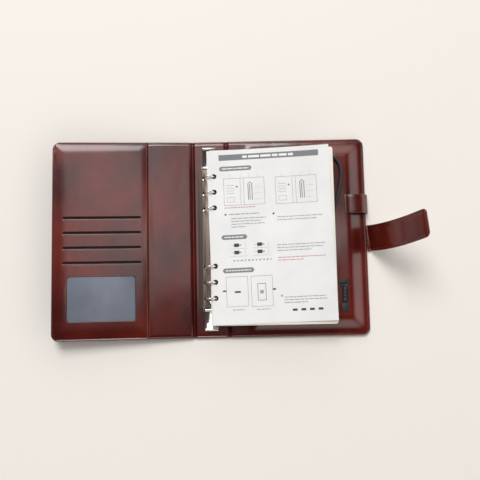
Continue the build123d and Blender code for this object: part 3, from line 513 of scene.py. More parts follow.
film = surface("frosted_film", "#6C7281", 0.42, clouds=(60.0, "#5F6674", "#7A808E"),
               grain=[(25.0, 0.25), (1.2, 0.01)], Specular_IOR_Level=0.55)
FILM_HEIGHTS = (5.45, 5.95)
FILM_LAP = 0.5           # how far it goes under the panel on every side
film_edge = round_outline(*WINDOW_CENTRE, *(size + 2 * FILM_LAP for size in WINDOW_SIZE),
                          (WINDOW_CORNER,) * 4)
film_mesh = punched_sheet("window_film", [film_edge], *FILM_HEIGHTS)
move_points(film_mesh, stand_front)
right_way_out(film_mesh)
window_film = crisp(link_mesh("window_film", film_mesh, film))
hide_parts("id_window")
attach(window_film, "front_cover")

# ------------------------------------------------------------
# Strap: two leathers round a soft core, sewn to the fore edge and still curled from being shut.
# It is made in two lengths, one over each fold, that meet where the strap doesn't bend.

STRAP_AXIS = (194.0, -3.0, 2.6)
STRAP_HALF = 16.0
STRAP_THICK = 3.2
STRAP_ROOT_LENGTH = 42.0
STRAP_JOINT = 2.0
STRAP_TIP_LENGTH = 49.0
STRAP_START = 69.0
STRAP_BEND = 10.0
STRAP_SKEW = math.radians(6.0)
STRAP_END = STRAP_ROOT_LENGTH + 2 * STRAP_JOINT + STRAP_TIP_LENGTH
STRAP_SPLIT = 22.0
STRAP_SAG = 2.6          # it bends sideways too, from use
STRAP_DROP = 0.3
STRAP_LEAN = 3.2         # how far its end has crept towards the page heads
STRAP_SEAM = 3.0         # its stitches are this far in from its edges
STRAP_STEP = 0.5
SQUARE = 0.01            # corner radius of a square end


def strap_heading(s):
    """Heading of the strap, in degrees above the table, at a distance past its first fold."""
    if s < 1.5:
        lift = min(max((s + 3.0) / 4.5, 0.0), 1.0)
        return STRAP_START * lift * lift * (3 - 2 * lift)
    if s < STRAP_ROOT_LENGTH:
        return STRAP_START - STRAP_BEND * s / STRAP_ROOT_LENGTH
    past = max(s - STRAP_ROOT_LENGTH - 2 * STRAP_JOINT, 0.0)
    return STRAP_START - STRAP_BEND - STRAP_BEND * past / STRAP_TIP_LENGTH


strap_line = {0: Vector((STRAP_AXIS[0], STRAP_AXIS[2]))}
for k in range(1, int(STRAP_END / STRAP_STEP) + 3):
    turn = math.radians(strap_heading((k - 0.5) * STRAP_STEP))
    strap_line[k] = strap_line[k - 1] + STRAP_STEP * Vector((math.cos(turn), math.sin(turn)))
for k in range(-1, -16, -1):
    turn = math.radians(strap_heading((k + 0.5) * STRAP_STEP))
    strap_line[k] = strap_line[k + 1] - STRAP_STEP * Vector((math.cos(turn), math.sin(turn)))


def on_strap(s, across, h):
    """A point of the strap: s along it, across its width, and h above its middle layer."""
    k = math.floor(s / STRAP_STEP)
    share = s / STRAP_STEP - k
    middle = strap_line[k].lerp(strap_line[k + 1], share)
    turn = math.radians(strap_heading(s))
    x, z = middle.x - h * math.sin(turn), middle.y + h * math.cos(turn)
    run = x - STRAP_AXIS[0]
    share = min(max(s / STRAP_END, 0.0), 1.0)
    across += STRAP_LEAN * share ** 2 - STRAP_SAG * math.sin(math.pi * share) ** 0.8 - STRAP_DROP
    return (STRAP_AXIS[0] + run * math.cos(STRAP_SKEW) - across * math.sin(STRAP_SKEW),
            STRAP_AXIS[1] + run * math.sin(STRAP_SKEW) + across * math.cos(STRAP_SKEW), z)


def strap_face(sign):
    """One face of the strap: crowned between its seams, thin along its edges."""
    def height(s, across):
        crown = 0.35 * (1 - (across / STRAP_HALF) ** 2)
        seam = 0.3 * math.exp(-((STRAP_HALF - abs(across) - STRAP_SEAM) / 0.6) ** 2)
        seam += 0.3 * math.exp(-((STRAP_END - s - STRAP_SEAM) / 0.6) ** 2)
        return sign * (STRAP_THICK / 2 - 0.3 + crown - seam)
    return height


LENGTH_STEPS = tuple(step for step in EDGE_STEPS if step <= 5.0)
lower_us = ruler(-5.0, 4.0, 0.5) + ruler(4.8, STRAP_SPLIT, 1.6)
strap_lower = pad("strap_lower_leather", lower_us, STRAP_HALF, SQUARE, strap_face(-1), strap_face(1),
                  on_strap, round_end=False)
upper_us = (ruler(STRAP_SPLIT, 38.0, 1.6) + ruler(38.7, 50.0, 0.7)
            + ruler(51.0, STRAP_END, 1.6, (), LENGTH_STEPS))
strap_upper = pad("strap_upper_leather", upper_us, STRAP_HALF, 5.5, strap_face(-1), strap_face(1), on_strap)
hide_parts("strap_root", "strap_anchor")
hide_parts("strap_tip_outer", "strap_tip_lining")
strap_fold = [Vector(on_strap(s, 0, 0)) * MM for s in (-2.2, 2.2)]
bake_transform(strap_lower)
middle_s = STRAP_ROOT_LENGTH + STRAP_JOINT
strap_fold = [Vector(on_strap(middle_s + d, 0, 0)) * MM for d in (-4.0, 4.0)]
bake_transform(strap_upper)

# ------------------------------------------------------------
# Pen loop: a wide band of leather, sewn to the pack's edge and wrapped round the fore edge.

LOOP_CENTRE = 37.5
LOOP_HALF = 11.5
LOOP_THICK = 1.5
loop_route = [(163.0, 13.9), (166.0, 14.9), (170.0, 16.0), (176.5, 16.3), (183.0, 15.4), (188.5, 12.2),
              (190.9, 8.0), (191.0, 4.5), (190.6, 2.6)]


def smooth_route(points, per_span=6):
    """A smooth line through points, as many small steps."""
    padded_points = [Vector(points[0]) * 2 - Vector(points[1])] + [Vector(p) for p in points]
    padded_points.append(Vector(points[-1]) * 2 - Vector(points[-2]))
    line = []
    for a, b, c, d in zip(padded_points, padded_points[1:], padded_points[2:], padded_points[3:]):
        for k in range(per_span):
            t = k / per_span
            line.append(0.5 * (2 * b + (c - a) * t + (2 * a - 5 * b + 4 * c - d) * t * t
                               + (3 * b - a - 3 * c + d) * t ** 3))
    return line + [Vector(points[-1])]


loop_line = smooth_route(loop_route)
loop_far = len(loop_line) - 1


def on_loop(step, across, h):
    """A point of the band; step counts along its line."""
    k = min(int(step), loop_far - 1)
    way = (loop_line[min(k + 1, loop_far)] - loop_line[k]).normalized()
    spot = loop_line[k].lerp(loop_line[k + 1], step - k)
    return (spot.x - h * way.y, LOOP_CENTRE + across, spot.y + h * way.x)


def loop_face(sign):
    def height(step, across):
        pulled = 0.25 * math.exp(-((step - 3.0) / 1.2) ** 2)
        turned = 0.2 * math.exp(-((LOOP_HALF - abs(across) - 1.6) / 0.5) ** 2)
        return sign * LOOP_THICK / 2 - (pulled + turned if sign > 0 else 0.0)
    return height


pen_band = pad("pen_loop_leather", [float(k) for k in range(loop_far + 1)], LOOP_HALF, SQUARE,
               loop_face(-1), loop_face(1), on_loop, round_end=False)
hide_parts("pen_loop")
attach(pen_band, "back_cover")

# ------------------------------------------------------------
# Stitches: waxed polyester thread in a shade near the leather, one every 2.8 mm, each of them
# lying in the dip that it pulls.

thread = surface("waxed_thread", "#5A1A14", 0.5, clouds=(2.0, "#4A130E", "#702A20"))
# The paler thread is a painted highlight. It stands for the light line where the leather rolls over along
# the pen loop's raised edge, and it is sewn along the card panel's seam too.
highlight_thread = surface("pale_thread_painted_highlight", "#9A5A4C", 0.55, clouds=(2.0, "#84463A", "#B07464"))


def shape_tree(name, inputs, finish_input):
    """A Geometry Nodes tree with inputs of a name, a kind and a value, and one for a finish."""
    tree = bpy.data.node_groups.new(name, "GeometryNodeTree")
    tree.interface.new_socket("Geometry", in_out="INPUT", socket_type="NodeSocketGeometry")
    for input_name, kind, value in inputs:
        made_socket = tree.interface.new_socket(input_name, in_out="INPUT", socket_type=kind)
        made_socket.default_value = value
    tree.interface.new_socket(finish_input, in_out="INPUT", socket_type="NodeSocketMaterial")
    tree.interface.new_socket("Geometry", in_out="OUTPUT", socket_type="NodeSocketGeometry")
    return tree


STITCH_SIZES = (("Pitch", 2.8), ("Length", 1.9), ("Thread", 0.6))
stitch_tree = shape_tree("saddle_stitches", [(size_name, "NodeSocketFloat", size_mm * MM)
                                             for size_name, size_mm in STITCH_SIZES], "Thread finish")
stitch_in = add_node(stitch_tree, "NodeGroupInput")
needle_holes = add_node(stitch_tree, "GeometryNodeResampleCurve",
                        {"Curve": stitch_in.outputs["Geometry"], "Length": stitch_in.outputs["Pitch"]},
                        mode="LENGTH")
half_length = add_node(stitch_tree, "ShaderNodeMath", {0: stitch_in.outputs["Length"], 1: 0.5},
                       operation="MULTIPLY")
half_thread = add_node(stitch_tree, "ShaderNodeMath", {0: stitch_in.outputs["Thread"], 1: 0.5},
                       operation="MULTIPLY")
stitch_scale = add_node(stitch_tree, "ShaderNodeCombineXYZ",
                        {"X": half_length, "Y": half_thread, "Z": half_thread})
bead = add_node(stitch_tree, "GeometryNodeMeshIcoSphere", {"Radius": 1.0, "Subdivisions": 2})
lie = add_node(stitch_tree, "FunctionNodeAlignRotationToVector",
               {"Vector": add_node(stitch_tree, "GeometryNodeInputTangent")}, axis="X")
sewn = add_node(stitch_tree, "GeometryNodeInstanceOnPoints",
                {"Points": needle_holes, "Instance": bead, "Rotation": lie, "Scale": stitch_scale})


def end_tree(tree, copies, finish):
    """The last steps of a tree: its copies as plain meshes, in a finish."""
    plain = add_node(tree, "GeometryNodeRealizeInstances", {"Geometry": copies})
    done = add_node(tree, "GeometryNodeSetMaterial", {"Geometry": plain, "Material": finish})
    add_node(tree, "NodeGroupOutput", {"Geometry": done})


end_tree(stitch_tree, sewn, stitch_in.outputs["Thread finish"])


def run_tree(piece, tree, values):
    """Runs a tree on an object; its inputs are set by their sockets' identifiers."""
    modifier = piece.modifiers.new(tree.name, "NODES")
    modifier.node_group = tree
    for item in tree.interface.items_tree:
        if item.in_out == "INPUT" and item.name in values:
            modifier[item.identifier] = values[item.name]
    return worked_out(piece)


def sew(name, lines, body, finish=thread):
    """Runs stitches along lines of points in mm; the result rides on one body."""
    data = bpy.data.curves.new(name, "CURVE")
    data.dimensions = "3D"
    for line in lines:
        spline = data.splines.new("POLY")
        spline.points.add(len(line) - 1)
        for point, spot in zip(spline.points, line):
            point.co = (*(Vector(spot) * MM), 1)
    values = {size_name: size_mm * MM for size_name, size_mm in STITCH_SIZES}
    values["Thread finish"] = finish
    made = link_mesh(name, run_tree(put(name + "_guide", data), stitch_tree, values), None)
    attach(made, body)


def perimeter(inset, start_u, height, place):
    """A line round three sides of a cover, a given way in from the edge."""
    half, far, radius = COVER_HALF - inset, COVER_X - inset, COVER_CORNER - inset
    flat = [(u, half) for u in ruler(start_u, far - radius, 4.0)]
    flat += [(far - radius + radius * math.sin(math.radians(a)),
              half - radius + radius * math.cos(math.radians(a))) for a in range(10, 90, 10)]
    flat += [(far, v) for v in reversed(ruler(-(half - radius), half - radius, 4.0))]
    flat += [(far - radius + radius * math.cos(math.radians(a)),
              -half + radius - radius * math.sin(math.radians(a))) for a in range(10, 90, 10)]
    flat += [(u, -half) for u in reversed(ruler(start_u, far - radius, 4.0))]
    return [place(u, v, height(u, v)) for u, v in flat]


SEAM_START = 27.0        # the stitches start this far from the middle of the spine
sew("back_cover_stitches", [perimeter(SEAM_INSET, SEAM_START, lambda u, v: back_inner_face(u, v) + 0.12,
                                      lambda u, v, h: (u, v, h))], "back_cover")


def front_seam_height(u, v):
    on_panel = POCKET_TOP + 0.1
    return on_panel + (panel_rise(u, v) if u > POCKET_EDGE else front_inner_face(u, v) - POCKET_TOP)


panel_seam_u = POCKET_EDGE + SEAM_INSET
panel_seam = [stand_front(panel_seam_u, v, front_seam_height(panel_seam_u, v))
              for v in ruler(-116.0, 116.0, 4.0)]
sew("front_cover_stitches", [perimeter(SEAM_INSET, SEAM_START, front_seam_height, stand_front)],
    "front_cover")
sew("card_panel_stitches", [panel_seam], "front_cover", highlight_thread)
sew("pen_loop_stitches", [[(164.6, LOOP_CENTRE + v, 15.0) for v in ruler(-10.0, 10.0, 2.0)]],
    "back_cover", highlight_thread)
for seam_name, s_from, s_to, seam_body in (("strap_lower_stitches", 4.0, 38.0, "strap_base"),
                                           ("strap_upper_stitches", 49.0, STRAP_END - 5.0, "strap_end")):
    seam_lines = []
    for face_sign in (1, -1):
        for side in (1, -1):
            across = side * (STRAP_HALF - STRAP_SEAM)
            seam_lines.append([on_strap(s, across, strap_face(face_sign)(s, across) + face_sign * 0.1)
                               for s in ruler(s_from, s_to, 2.0)])
    sew(seam_name, seam_lines, seam_body)

# ------------------------------------------------------------
# Ring mechanism: pressed steel plate on the spine, two blades under it, six split rings of
# 2.2 mm wire and a lever at each end. Rings and levers are chromed and polished like a mirror, the
# plate is nickelled and a little duller, and its colour is darkened and tinted brown as a painted
# reflection of the leather beside it.

chrome = surface("polished_chrome", "#D9D6D2", 0.12, grain=[(9.0, 0.02)], Metallic=1.0)
# The plate's dull satin finish is its own, but its dark brown base colour is a painted reflection of the
# burgundy leather.
reflection_tinted_nickel = surface("satin_nickel_painted_reflection", "#93857C", 0.55, grain=[(14.0, 0.05), (0.6, 0.004)], draw_out=4.0,
                 Metallic=1.0)
RING_R = 6.6
WIRE_R = 1.1
RING_Z = 16.5
RING_FOOT = 5.4
SPLIT_GAP = 0.12         # between a half ring's tip and the middle of the split
RING_YS = (73.0, 54.0, 35.0, -35.0, -54.0, -73.0)


def tidy_copy(node, name, finish, bevel_mm):
    """A copy of a CAD node with welded faces and softened edges, which stands for it."""
    mesh = frame["nodes"][node].data.copy()
    shape = bmesh.new()
    shape.from_mesh(mesh)
    bmesh.ops.remove_doubles(shape, verts=shape.verts, dist=1e-6)
    bmesh.ops.dissolve_limit(shape, angle_limit=math.radians(1.0), verts=shape.verts, edges=shape.edges)
    shape.to_mesh(mesh)
    shape.free()
    piece = link_mesh(name, mesh, finish)
    if bevel_mm:
        bevel = piece.modifiers.new("soft_edges", "BEVEL")
        bevel.width = bevel_mm * MM
        bevel.segments = 2
        bevel.limit_method = "ANGLE"
        bevel.angle_limit = math.radians(35)
        beveled = worked_out(piece, remove=False)
        piece.modifiers.clear()
        piece.data = beveled
    crisp(piece)
    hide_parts(node)
    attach(piece, next(b for b, nodes in frame["record"]["behaviour"]["bodies"].items() if node in nodes))


def tube(name, routes, radius, finish, sides=16):
    """Round wires along routes of points in mm, with closed ends."""
    made = bmesh.new()
    for route in routes:
        spots = [Vector(p) for p in route]
        rings = []
        for k, spot in enumerate(spots):
            ahead = (spots[min(k + 1, len(spots) - 1)] - spots[max(k - 1, 0)]).normalized()
            side = ahead.cross(Vector((0, 1, 0)) if abs(ahead.y) < 0.9 else Vector((1, 0, 0))).normalized()
            up = side.cross(ahead)
            rings.append([made.verts.new((spot + radius * (side * math.cos(a) + up * math.sin(a))) * MM)
                          for a in (2 * math.pi * i / sides for i in range(sides))])
        for near, far in zip(rings, rings[1:]):
            for i in range(sides):
                made.faces.new([near[i], near[(i + 1) % sides], far[(i + 1) % sides], far[i]])
        made.faces.new(rings[0])
        made.faces.new(rings[-1])
    return crisp(link_mesh(name, write_shape(made, bpy.data.meshes.new(name)), finish), 50)


def ring_half(side, y):
    """From the blade straight up, then a quarter turn to the split."""
    leg = [(side * RING_R, y, RING_FOOT + (RING_Z - RING_FOOT) * k / 4) for k in range(4)]
    last = 90 - math.degrees(SPLIT_GAP / RING_R)
    bow = [(side * RING_R * math.cos(math.radians(a)), y, RING_Z + RING_R * math.sin(math.radians(a)))
           for a in (last * k / 14 for k in range(15))]
    return leg + bow


for side, half_name in ((-1, "left"), (1, "right")):
    wires = tube(half_name + "_ring_wires", [ring_half(side, y) for y in RING_YS], WIRE_R, chrome)
    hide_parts(half_name + "_half_rings")
    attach(wires, half_name + "_rings")
    tidy_copy(half_name + "_blade", half_name + "_blade_steel", chrome, 0.1)
tidy_copy("ring_plate", "ring_plate_steel", reflection_tinted_nickel, 0.12)
tidy_copy("plate_rivets", "plate_rivet_heads", chrome, 0.3)
tidy_copy("lever_pins", "lever_pin_steel", chrome, 0.1)
tidy_copy("upper_lever", "upper_lever_steel", chrome, 0.25)
tidy_copy("lower_lever", "lower_lever_steel", chrome, 0.25)

# ------------------------------------------------------------
# Pages: a stack of cream A5 sheets, punched with six holes. Each sheet is its own leaf, so the
# edges of the stack show as many fine lines, a little out of line.

cream_paper = surface("cream_paper", "#F1EEE2", 0.8, clouds=(30.0, "#ECE8DA", "#F5F2E8"))
white_paper = surface("white_paper", "#F1F1F0", 0.7, clouds=(40.0, "#EDEDEC", "#F5F5F4"))
PAGE_WIDTH = 148.0
PAGE_HEIGHT = 210.0
PAGE_EDGE = 0.7
STACK = 6.0
LEAVES = 20
LEAF_THICK = 0.24
LEAF_DRIFT = 0.45        # how far a leaf strays from the others
LEAF_LIFT = 0.03
HOLE_R = 3.3             # wide enough for the opened rings too
PAGE_TILT = math.radians(3.0)


def tilt_page(x, y, z):
    """Raises the fore edge of the pages about the middle of the rings."""
    rise = z - RING_Z
    return (x * math.cos(PAGE_TILT) - rise * math.sin(PAGE_TILT), y,
            RING_Z + x * math.sin(PAGE_TILT) + rise * math.cos(PAGE_TILT))


def ring_hole(height):
    """Where the rings pass at a height above their middle."""
    return math.sqrt(max(RING_R ** 2 - height ** 2, 4.0))


def hole_outlines(height):
    x = ring_hole(height)
    return [[(x + HOLE_R * math.cos(math.radians(a)), y + HOLE_R * math.sin(math.radians(a)))
             for a in range(0, 360, 24)] for y in RING_YS]


leaf_mesh = punched_sheet("page_leaf",
                          [round_outline(PAGE_EDGE + PAGE_WIDTH / 2, 0, PAGE_WIDTH, PAGE_HEIGHT,
                                         (0.5, 2.5, 2.5, 0.5), 4)] + hole_outlines(1.5),
                          0.0, LEAF_THICK)
leaf_object = link_mesh("page_leaf", leaf_mesh, cream_paper, smooth=False)

STACK_INPUTS = (("Leaves", "NodeSocketInt", LEAVES), ("Pitch", "NodeSocketFloat", STACK / LEAVES * MM),
                ("Drift", "NodeSocketFloat", LEAF_DRIFT * MM))
stack_tree = shape_tree("page_stack", STACK_INPUTS, "Paper")
stack_in = add_node(stack_tree, "NodeGroupInput")
rise = add_node(stack_tree, "ShaderNodeCombineXYZ", {"Z": stack_in.outputs["Pitch"]})
places = add_node(stack_tree, "GeometryNodeMeshLine",
                  {"Count": stack_in.outputs["Leaves"], "Offset": rise}, mode="OFFSET")
drift_back = add_node(stack_tree, "ShaderNodeMath", {0: stack_in.outputs["Drift"], 1: -1.0},
                      operation="MULTIPLY")
drift_low = add_node(stack_tree, "ShaderNodeCombineXYZ", {"X": drift_back, "Y": drift_back})
drift_high = add_node(stack_tree, "ShaderNodeCombineXYZ",
                      {"X": stack_in.outputs["Drift"], "Y": stack_in.outputs["Drift"]})
stray = add_node(stack_tree, "FunctionNodeRandomValue", {0: drift_low, 1: drift_high, "Seed": 7},
                 data_type="FLOAT_VECTOR")
shuffled = add_node(stack_tree, "GeometryNodeSetPosition", {"Geometry": places, "Offset": stray})
leaves = add_node(stack_tree, "GeometryNodeInstanceOnPoints",
                  {"Points": shuffled, "Instance": stack_in.outputs["Geometry"]})
end_tree(stack_tree, leaves, stack_in.outputs["Paper"])
stack_values = {input_name: value for input_name, kind, value in STACK_INPUTS}
stack_mesh = run_tree(leaf_object, stack_tree, {"Paper": cream_paper, **stack_values})
move_points(stack_mesh, lambda x, y, z: tilt_page(x, y, z + RING_Z - STACK / 2 + LEAF_LIFT))
page_stack = link_mesh("page_stack", stack_mesh, cream_paper, smooth=False)
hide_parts("page_block")
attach(page_stack, "pages")

# ------------------------------------------------------------
# Leaflet: one loose printed sheet on top of the pages, punched like them. It lies a little askew
# and curls up towards the fore edge.

SHEET_WIDTH = 146.5
SHEET_HEIGHT = 209.0
SHEET_THICK = 0.2
SHEET_TWIST = math.radians(1.4)
SHEET_CENTRE = (PAGE_EDGE + PAGE_WIDTH / 2 - 1.4, 1.5)
SHEET_LOW = RING_Z + STACK / 2 + 0.42
CURL_START = 86.0
CURL_RADIUS = 741.0


def on_sheet(u, v, lift):
    """A point of the sheet: u from its bound edge, v down from its head, lift above its face."""
    a, b = u - SHEET_WIDTH / 2, SHEET_HEIGHT / 2 - v
    x = SHEET_CENTRE[0] + a * math.cos(SHEET_TWIST) - b * math.sin(SHEET_TWIST)
    y = SHEET_CENTRE[1] + a * math.sin(SHEET_TWIST) + b * math.cos(SHEET_TWIST)
    run = max(x - CURL_START, 0.0)
    curl = run * run / (2 * CURL_RADIUS)
    return tilt_page(x, y, SHEET_LOW + SHEET_THICK + curl + lift)


def sheet_slab(us, vs, low, high, into):
    """A thin closed slab that follows the sheet."""
    grid = {}
    for i, u in enumerate(us):
        for j, v in enumerate(vs):
            for k, lift in enumerate((low, high)):
                grid[i, j, k] = into.verts.new(Vector(on_sheet(u, v, lift)) * MM)
    last_i, last_j = len(us) - 1, len(vs) - 1
    for i in range(last_i):
        for j in range(last_j):
            into.faces.new([grid[i, j, 1], grid[i, j + 1, 1], grid[i + 1, j + 1, 1], grid[i + 1, j, 1]])
            into.faces.new([grid[i, j, 0], grid[i + 1, j, 0], grid[i + 1, j + 1, 0], grid[i, j + 1, 0]])
    for i in range(last_i):
        for j in (0, last_j):
            into.faces.new([grid[i, j, 0], grid[i + 1, j, 0], grid[i + 1, j, 1], grid[i, j, 1]])
    for j in range(last_j):
        for i in (0, last_i):
            into.faces.new([grid[i, j, 0], grid[i, j + 1, 0], grid[i, j + 1, 1], grid[i, j, 1]])


PUNCHED_MARGIN = 13.0
LEAFLET_HOLES = 2.7      # punched for the rings a little below the sheet, to clear them when opened
sheet_shape = bmesh.new()
sheet_slab(ruler(PUNCHED_MARGIN, SHEET_WIDTH, 3.4), ruler(0.0, SHEET_HEIGHT, 5.5),
           -SHEET_THICK, 0.0, sheet_shape)
sheet_mesh = write_shape(sheet_shape, bpy.data.meshes.new("leaflet_sheet"))


def unsheet(x, y):
    """The sheet's own u and v of a flat place in the book."""
    a, b = x - SHEET_CENTRE[0], y - SHEET_CENTRE[1]
    return (SHEET_WIDTH / 2 + a * math.cos(SHEET_TWIST) + b * math.sin(SHEET_TWIST),
            SHEET_HEIGHT / 2 - (b * math.cos(SHEET_TWIST) - a * math.sin(SHEET_TWIST)))


margin_holes = [[unsheet(x, y) for x, y in outline] for outline in hole_outlines(LEAFLET_HOLES)]
margin_edge = [(0.0, 0.0), (0.0, SHEET_HEIGHT), (PUNCHED_MARGIN, SHEET_HEIGHT), (PUNCHED_MARGIN, 0.0)]
margin_mesh = punched_sheet("leaflet_margin", [margin_edge] + margin_holes, -SHEET_THICK, 0.0)
move_points(margin_mesh, on_sheet)
both = bmesh.new()
both.from_mesh(sheet_mesh)
both.from_mesh(margin_mesh)
write_shape(both, sheet_mesh)
leaflet_sheet = crisp(link_mesh("leaflet_sheet", sheet_mesh, white_paper))
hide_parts("leaflet")
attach(leaflet_sheet, "loose_sheet")

# Print: flat ink in a few shades. Lines of writing are plain dashes, and drawings are outlines of
# the open book, its pockets, a phone and some plugs, so nothing on it can be read.
INK_LIFT = 0.02
INK_THICK = 0.05
INKS = {}
ink_shapes = {}
for ink_name, ink_shade, ink_rough in (("black", "#3A3C41", 0.55), ("grey", "#9FA1A5", 0.6),
                                       ("pale", "#BFC1C4", 0.6), ("red", "#CF8E94", 0.6),
                                       ("head", "#7E8084", 0.6), ("pill", "#85878B", 0.6),
                                       ("white", "#F3F3F2", 0.65)):
    INKS[ink_name] = surface("print_" + ink_name, ink_shade, ink_rough, grain=[(0.8, 0.004)])
    ink_shapes[ink_name] = bmesh.new()


def bar(ink_name, u0, v0, u1, v1, layer=0):
    """A filled rectangle of ink."""
    lift = INK_LIFT + layer * INK_THICK
    sheet_slab(ruler(u0, u1, 4.0), [v0, v1], lift, lift + INK_THICK, ink_shapes[ink_name])


def outline_box(ink_name, u0, v0, u1, v1, line=0.45):
    """A drawn rectangle."""
    for left, top, right, bottom in ((u0, v0, u1, v0 + line), (u0, v1 - line, u1, v1),
                                     (u0, v0 + line, u0 + line, v1 - line),
                                     (u1 - line, v0 + line, u1, v1 - line)):
        bar(ink_name, left, top, right, bottom)


def writing(ink_name, u0, v, u1, height, seed, gap=0.8, words=(2.2, 7.5), layer=0):
    """A line of dashes, as long as words."""
    pick = random.Random(seed)
    u = u0
    while u < u1 - 1.0:
        stop = min(u + pick.uniform(*words), u1)
        bar(ink_name, u, v - height / 2, stop, v + height / 2, layer)
        u = stop + gap


def paragraph(ink_name, u0, v, pitch, stops, seed):
    """Small lines of writing under each other, each up to its own stop."""
    for row, stop in enumerate(stops):
        writing(ink_name, u0, v + pitch * row, stop, 0.9, seed + row)


bar("head", 14.5, 5.6, 134.0, 12.6)
writing("white", 43.0, 9.1, 104.0, 2.9, 1, 1.5, (4.0, 15.0), 1)
PILL_HEIGHT = 5.6
for pill_u, pill_v, pill_end, seed in ((16.0, 20.0, 52.0, 2), (15.5, 103.0, 43.0, 3),
                                       (15.5, 142.7, 49.5, 4)):
    bar("pill", pill_u, pill_v, pill_end, pill_v + PILL_HEIGHT)
    for left, right, short in ((pill_u - 0.7, pill_u, 0.7), (pill_u - 1.5, pill_u - 0.7, 1.7),
                               (pill_end, pill_end + 0.7, 0.7), (pill_end + 0.7, pill_end + 1.5, 1.7)):
        bar("pill", left, pill_v + short, right, pill_v + PILL_HEIGHT - short)
    writing("white", pill_u + 2.0, pill_v + 2.8, pill_end - 2.0, 1.3, seed, 0.7, (2.0, 6.0), 1)

# the open book drawn twice, with pockets on its left and a cable on its right
for book_u, book_v in ((19.0, 34.8), (81.0, 35.6)):
    outline_box("grey", book_u, book_v, book_u + 49.0, book_v + 33.0)
    bar("grey", book_u + 20.0, book_v, book_u + 20.4, book_v + 33.0)
    bar("grey", book_u + 24.0, book_v, book_u + 24.4, book_v + 33.0)
    for line in range(4):
        bar("grey", book_u + 3.0, book_v + 8.5 + 3.2 * line, book_u + 13.0, book_v + 8.9 + 3.2 * line)
    outline_box("grey", book_u + 3.5, book_v + 23.0, book_u + 13.0, book_v + 29.0, 0.35)
    bar("black", book_u + 15.0, book_v + 9.5, book_u + 16.8, book_v + 11.3)
    for k in range(5):
        bar("black", book_u + 29.0 + 1.2 * k, book_v + 5.0 + abs(2 - k), book_u + 29.9 + 1.2 * k,
            book_v + 6.0 + abs(2 - k))
    for leg in (29.0, 31.0, 33.6):
        bar("black", book_u + leg, book_v + 8.0, book_u + leg + 0.7, book_v + 27.0)
    for reach in (12.0, 19.0, 26.0):
        bar("pale", book_u + 36.0, book_v + reach, book_u + 46.0, book_v + reach + 0.3)
    for tick in (8.0, 21.5, 31.0, 41.0):
        bar("pale", book_u + tick, book_v - 5.5, book_u + tick + 0.3, book_v)
writing("red", 19.0, 70.4, 56.0, 0.9, 5, 0.5, (1.5, 4.0))

for bullet_u, bullet_v in ((20.0, 77.2), (77.2, 78.6)):
    for k in range(5):
        half = (2 - abs(2 - k)) * 0.55 + 0.35
        bar("black", bullet_u - half, bullet_v + 0.5 * k, bullet_u + half, bullet_v + 0.5 * k + 0.5)
writing("grey", 24.0, 78.4, 60.0, 1.1, 6)
paragraph("grey", 26.5, 83.6, 3.4, (68.0, 62.0, 66.0, 44.0), 20)
paragraph("grey", 81.5, 84.2, 3.5, (136.0, 128.0), 30)

# plugs, two by two, each on its line
for plug_u in (28.5, 56.0):
    for plug_v in (113.6, 122.2):
        bar("black", plug_u, plug_v, plug_u + 5.8, plug_v + 4.2)
        bar("grey", plug_u + 5.8, plug_v + 1.3, plug_u + 8.6, plug_v + 2.9)
        bar("grey", plug_u - 3.6, plug_v + 1.9, plug_u, plug_v + 2.3)
        bar("pale", plug_u + 13.0, plug_v - 1.0, plug_u + 13.4, plug_v + 4.6)
    bar("pale", plug_u - 5.0, 119.6, plug_u + 16.0, 120.0)
    bar("pale", plug_u - 5.0, 128.6, plug_u + 16.0, 129.0)
writing("grey", 27.0, 134.0, 72.0, 1.6, 7, 2.2, (1.8, 3.0))
paragraph("grey", 79.5, 117.6, 3.4, (137.0, 133.0, 120.0), 40)
paragraph("red", 80.0, 132.6, 3.2, (136.0, 110.0), 50)

# the shut book drawn twice, the second with a phone on it
outline_box("grey", 17.0, 152.7, 43.0, 188.3)
outline_box("grey", 46.5, 152.9, 72.0, 189.2)
outline_box("black", 54.0, 162.0, 64.0, 182.0, 0.5)
bar("grey", 57.0, 170.0, 61.0, 174.0)
bar("black", 13.0, 168.5, 17.0, 170.2)
bar("black", 27.0, 170.0, 34.0, 172.0)
bar("black", 72.0, 168.5, 75.5, 170.4)
writing("grey", 24.0, 192.0, 38.0, 0.9, 8)
writing("grey", 52.0, 192.4, 68.0, 0.9, 9)
bar("red", 81.0, 176.6, 83.4, 178.8)
paragraph("grey", 85.0, 179.6, 3.2, (134.0, 136.0, 112.0), 60)
for k in range(4):
    bar("black", 94.0 + 10.0 * k, 193.4, 99.5 + 10.0 * k, 196.0)

for ink_name, ink_shape in ink_shapes.items():
    piece_name = "leaflet_print_" + ink_name
    ink_mesh = write_shape(ink_shape, bpy.data.meshes.new(piece_name))
    ink_piece = link_mesh(piece_name, ink_mesh, INKS[ink_name], smooth=False)
    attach(ink_piece, "loose_sheet")

# ------------------------------------------------------------
# Control strip: a black moulded bezel on the pack with the power button, four status lights and a
# rubber flap over the charging port.

moulding = surface("black_moulding", "#17181A", 0.38, clouds=(12.0, "#131415", "#1E2022"),
                   grain=[(0.5, 0.01)])
black_rubber = surface("black_rubber", "#141416", 0.55, clouds=(15.0, "#101012", "#1B1C1E"),
                       grain=[(0.7, 0.012)])
clear_guide = surface("clear_light_guide", "#565D5B", 0.2, grain=[(3.0, 0.01)], Coat_Weight=0.6)
port_steel = surface("plated_steel", "#A9AAAB", 0.28, grain=[(1.5, 0.006)], Metallic=1.0)

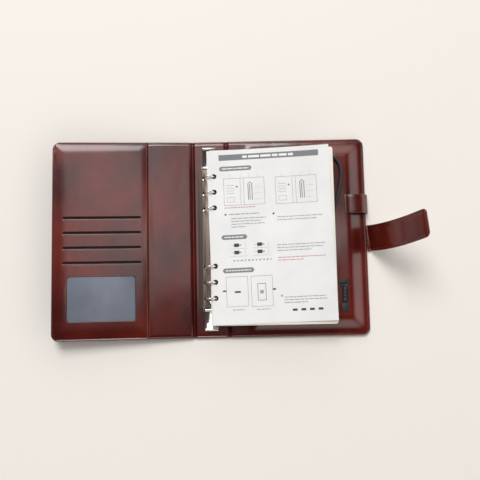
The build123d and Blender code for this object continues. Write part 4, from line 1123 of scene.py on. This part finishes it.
tidy_copy("control_bezel", "control_bezel_moulding", moulding, 0.22)
tidy_copy("power_button", "power_button_cap", moulding, 0.3)
tidy_copy("status_lights", "status_light_guides", clear_guide, 0.1)
tidy_copy("port_flap", "port_flap_rubber", black_rubber, 0.3)
tidy_copy("usb_socket", "charging_socket", port_steel, 0.05)

# ------------------------------------------------------------
# Charging cable: black PVC, 4.2 mm thick, from a gland in the pack to a plug that is tucked into a
# leather keeper. It lies in one easy bend beside the pages.

tidy_copy("charge_cable", "charging_cable_jacket", black_rubber, 0.0)
tidy_copy("cable_grommet", "cable_gland", black_rubber, 0.5)
tidy_copy("cable_plug", "cable_plug_moulding", moulding, 0.4)
tidy_copy("cable_sleeve", "cable_keeper_leather", leather, 0.3)

# ------------------------------------------------------------
# Inside the covers: boards, foam, the power bank and the charging coil. They are shut in, and each
# has the plain finish that it would have on a bench.


def dress(finish, *nodes):
    """Gives CAD nodes a finish in place of their plain one."""
    for node in nodes:
        mesh = frame["nodes"][node].data
        mesh.materials.clear()
        mesh.materials.append(finish)


dress(surface("greyboard", "#9B907E", 0.85, clouds=(6.0, "#8E8371", "#A89D8B")),
      "back_board", "front_board", "spine_board")
dress(surface("open_cell_foam", "#4A4B4E", 0.95, grain=[(1.2, 0.3)]), "pack_foam")
dress(surface("black_lining_cloth", "#0C0C0D", 0.9, grain=[(0.8, 0.05)], Sheen_Weight=0.2),
      "pocket_backing")
dress(surface("black_abs_case", "#202123", 0.5, grain=[(0.6, 0.02)]),
      "power_bank_tray", "power_bank_lid", "tact_switch")
dress(surface("aluminium_pouch", "#B9BBBE", 0.35, grain=[(7.0, 0.15)], Metallic=1.0),
      "battery_cell_inner", "battery_cell_outer")
dress(surface("green_solder_mask", "#0E5A34", 0.35, clouds=(4.0, "#0B4C2B", "#13683E")), "main_board")
dress(surface("enamelled_copper", "#B4633A", 0.3, grain=[(0.8, 0.08)], Metallic=1.0), "wireless_coil")
dress(surface("sintered_ferrite", "#2E2F31", 0.6, grain=[(0.5, 0.03)]), "ferrite_sheet")
dress(port_steel, "tray_screws", "clasp_plate", "clasp_magnet")
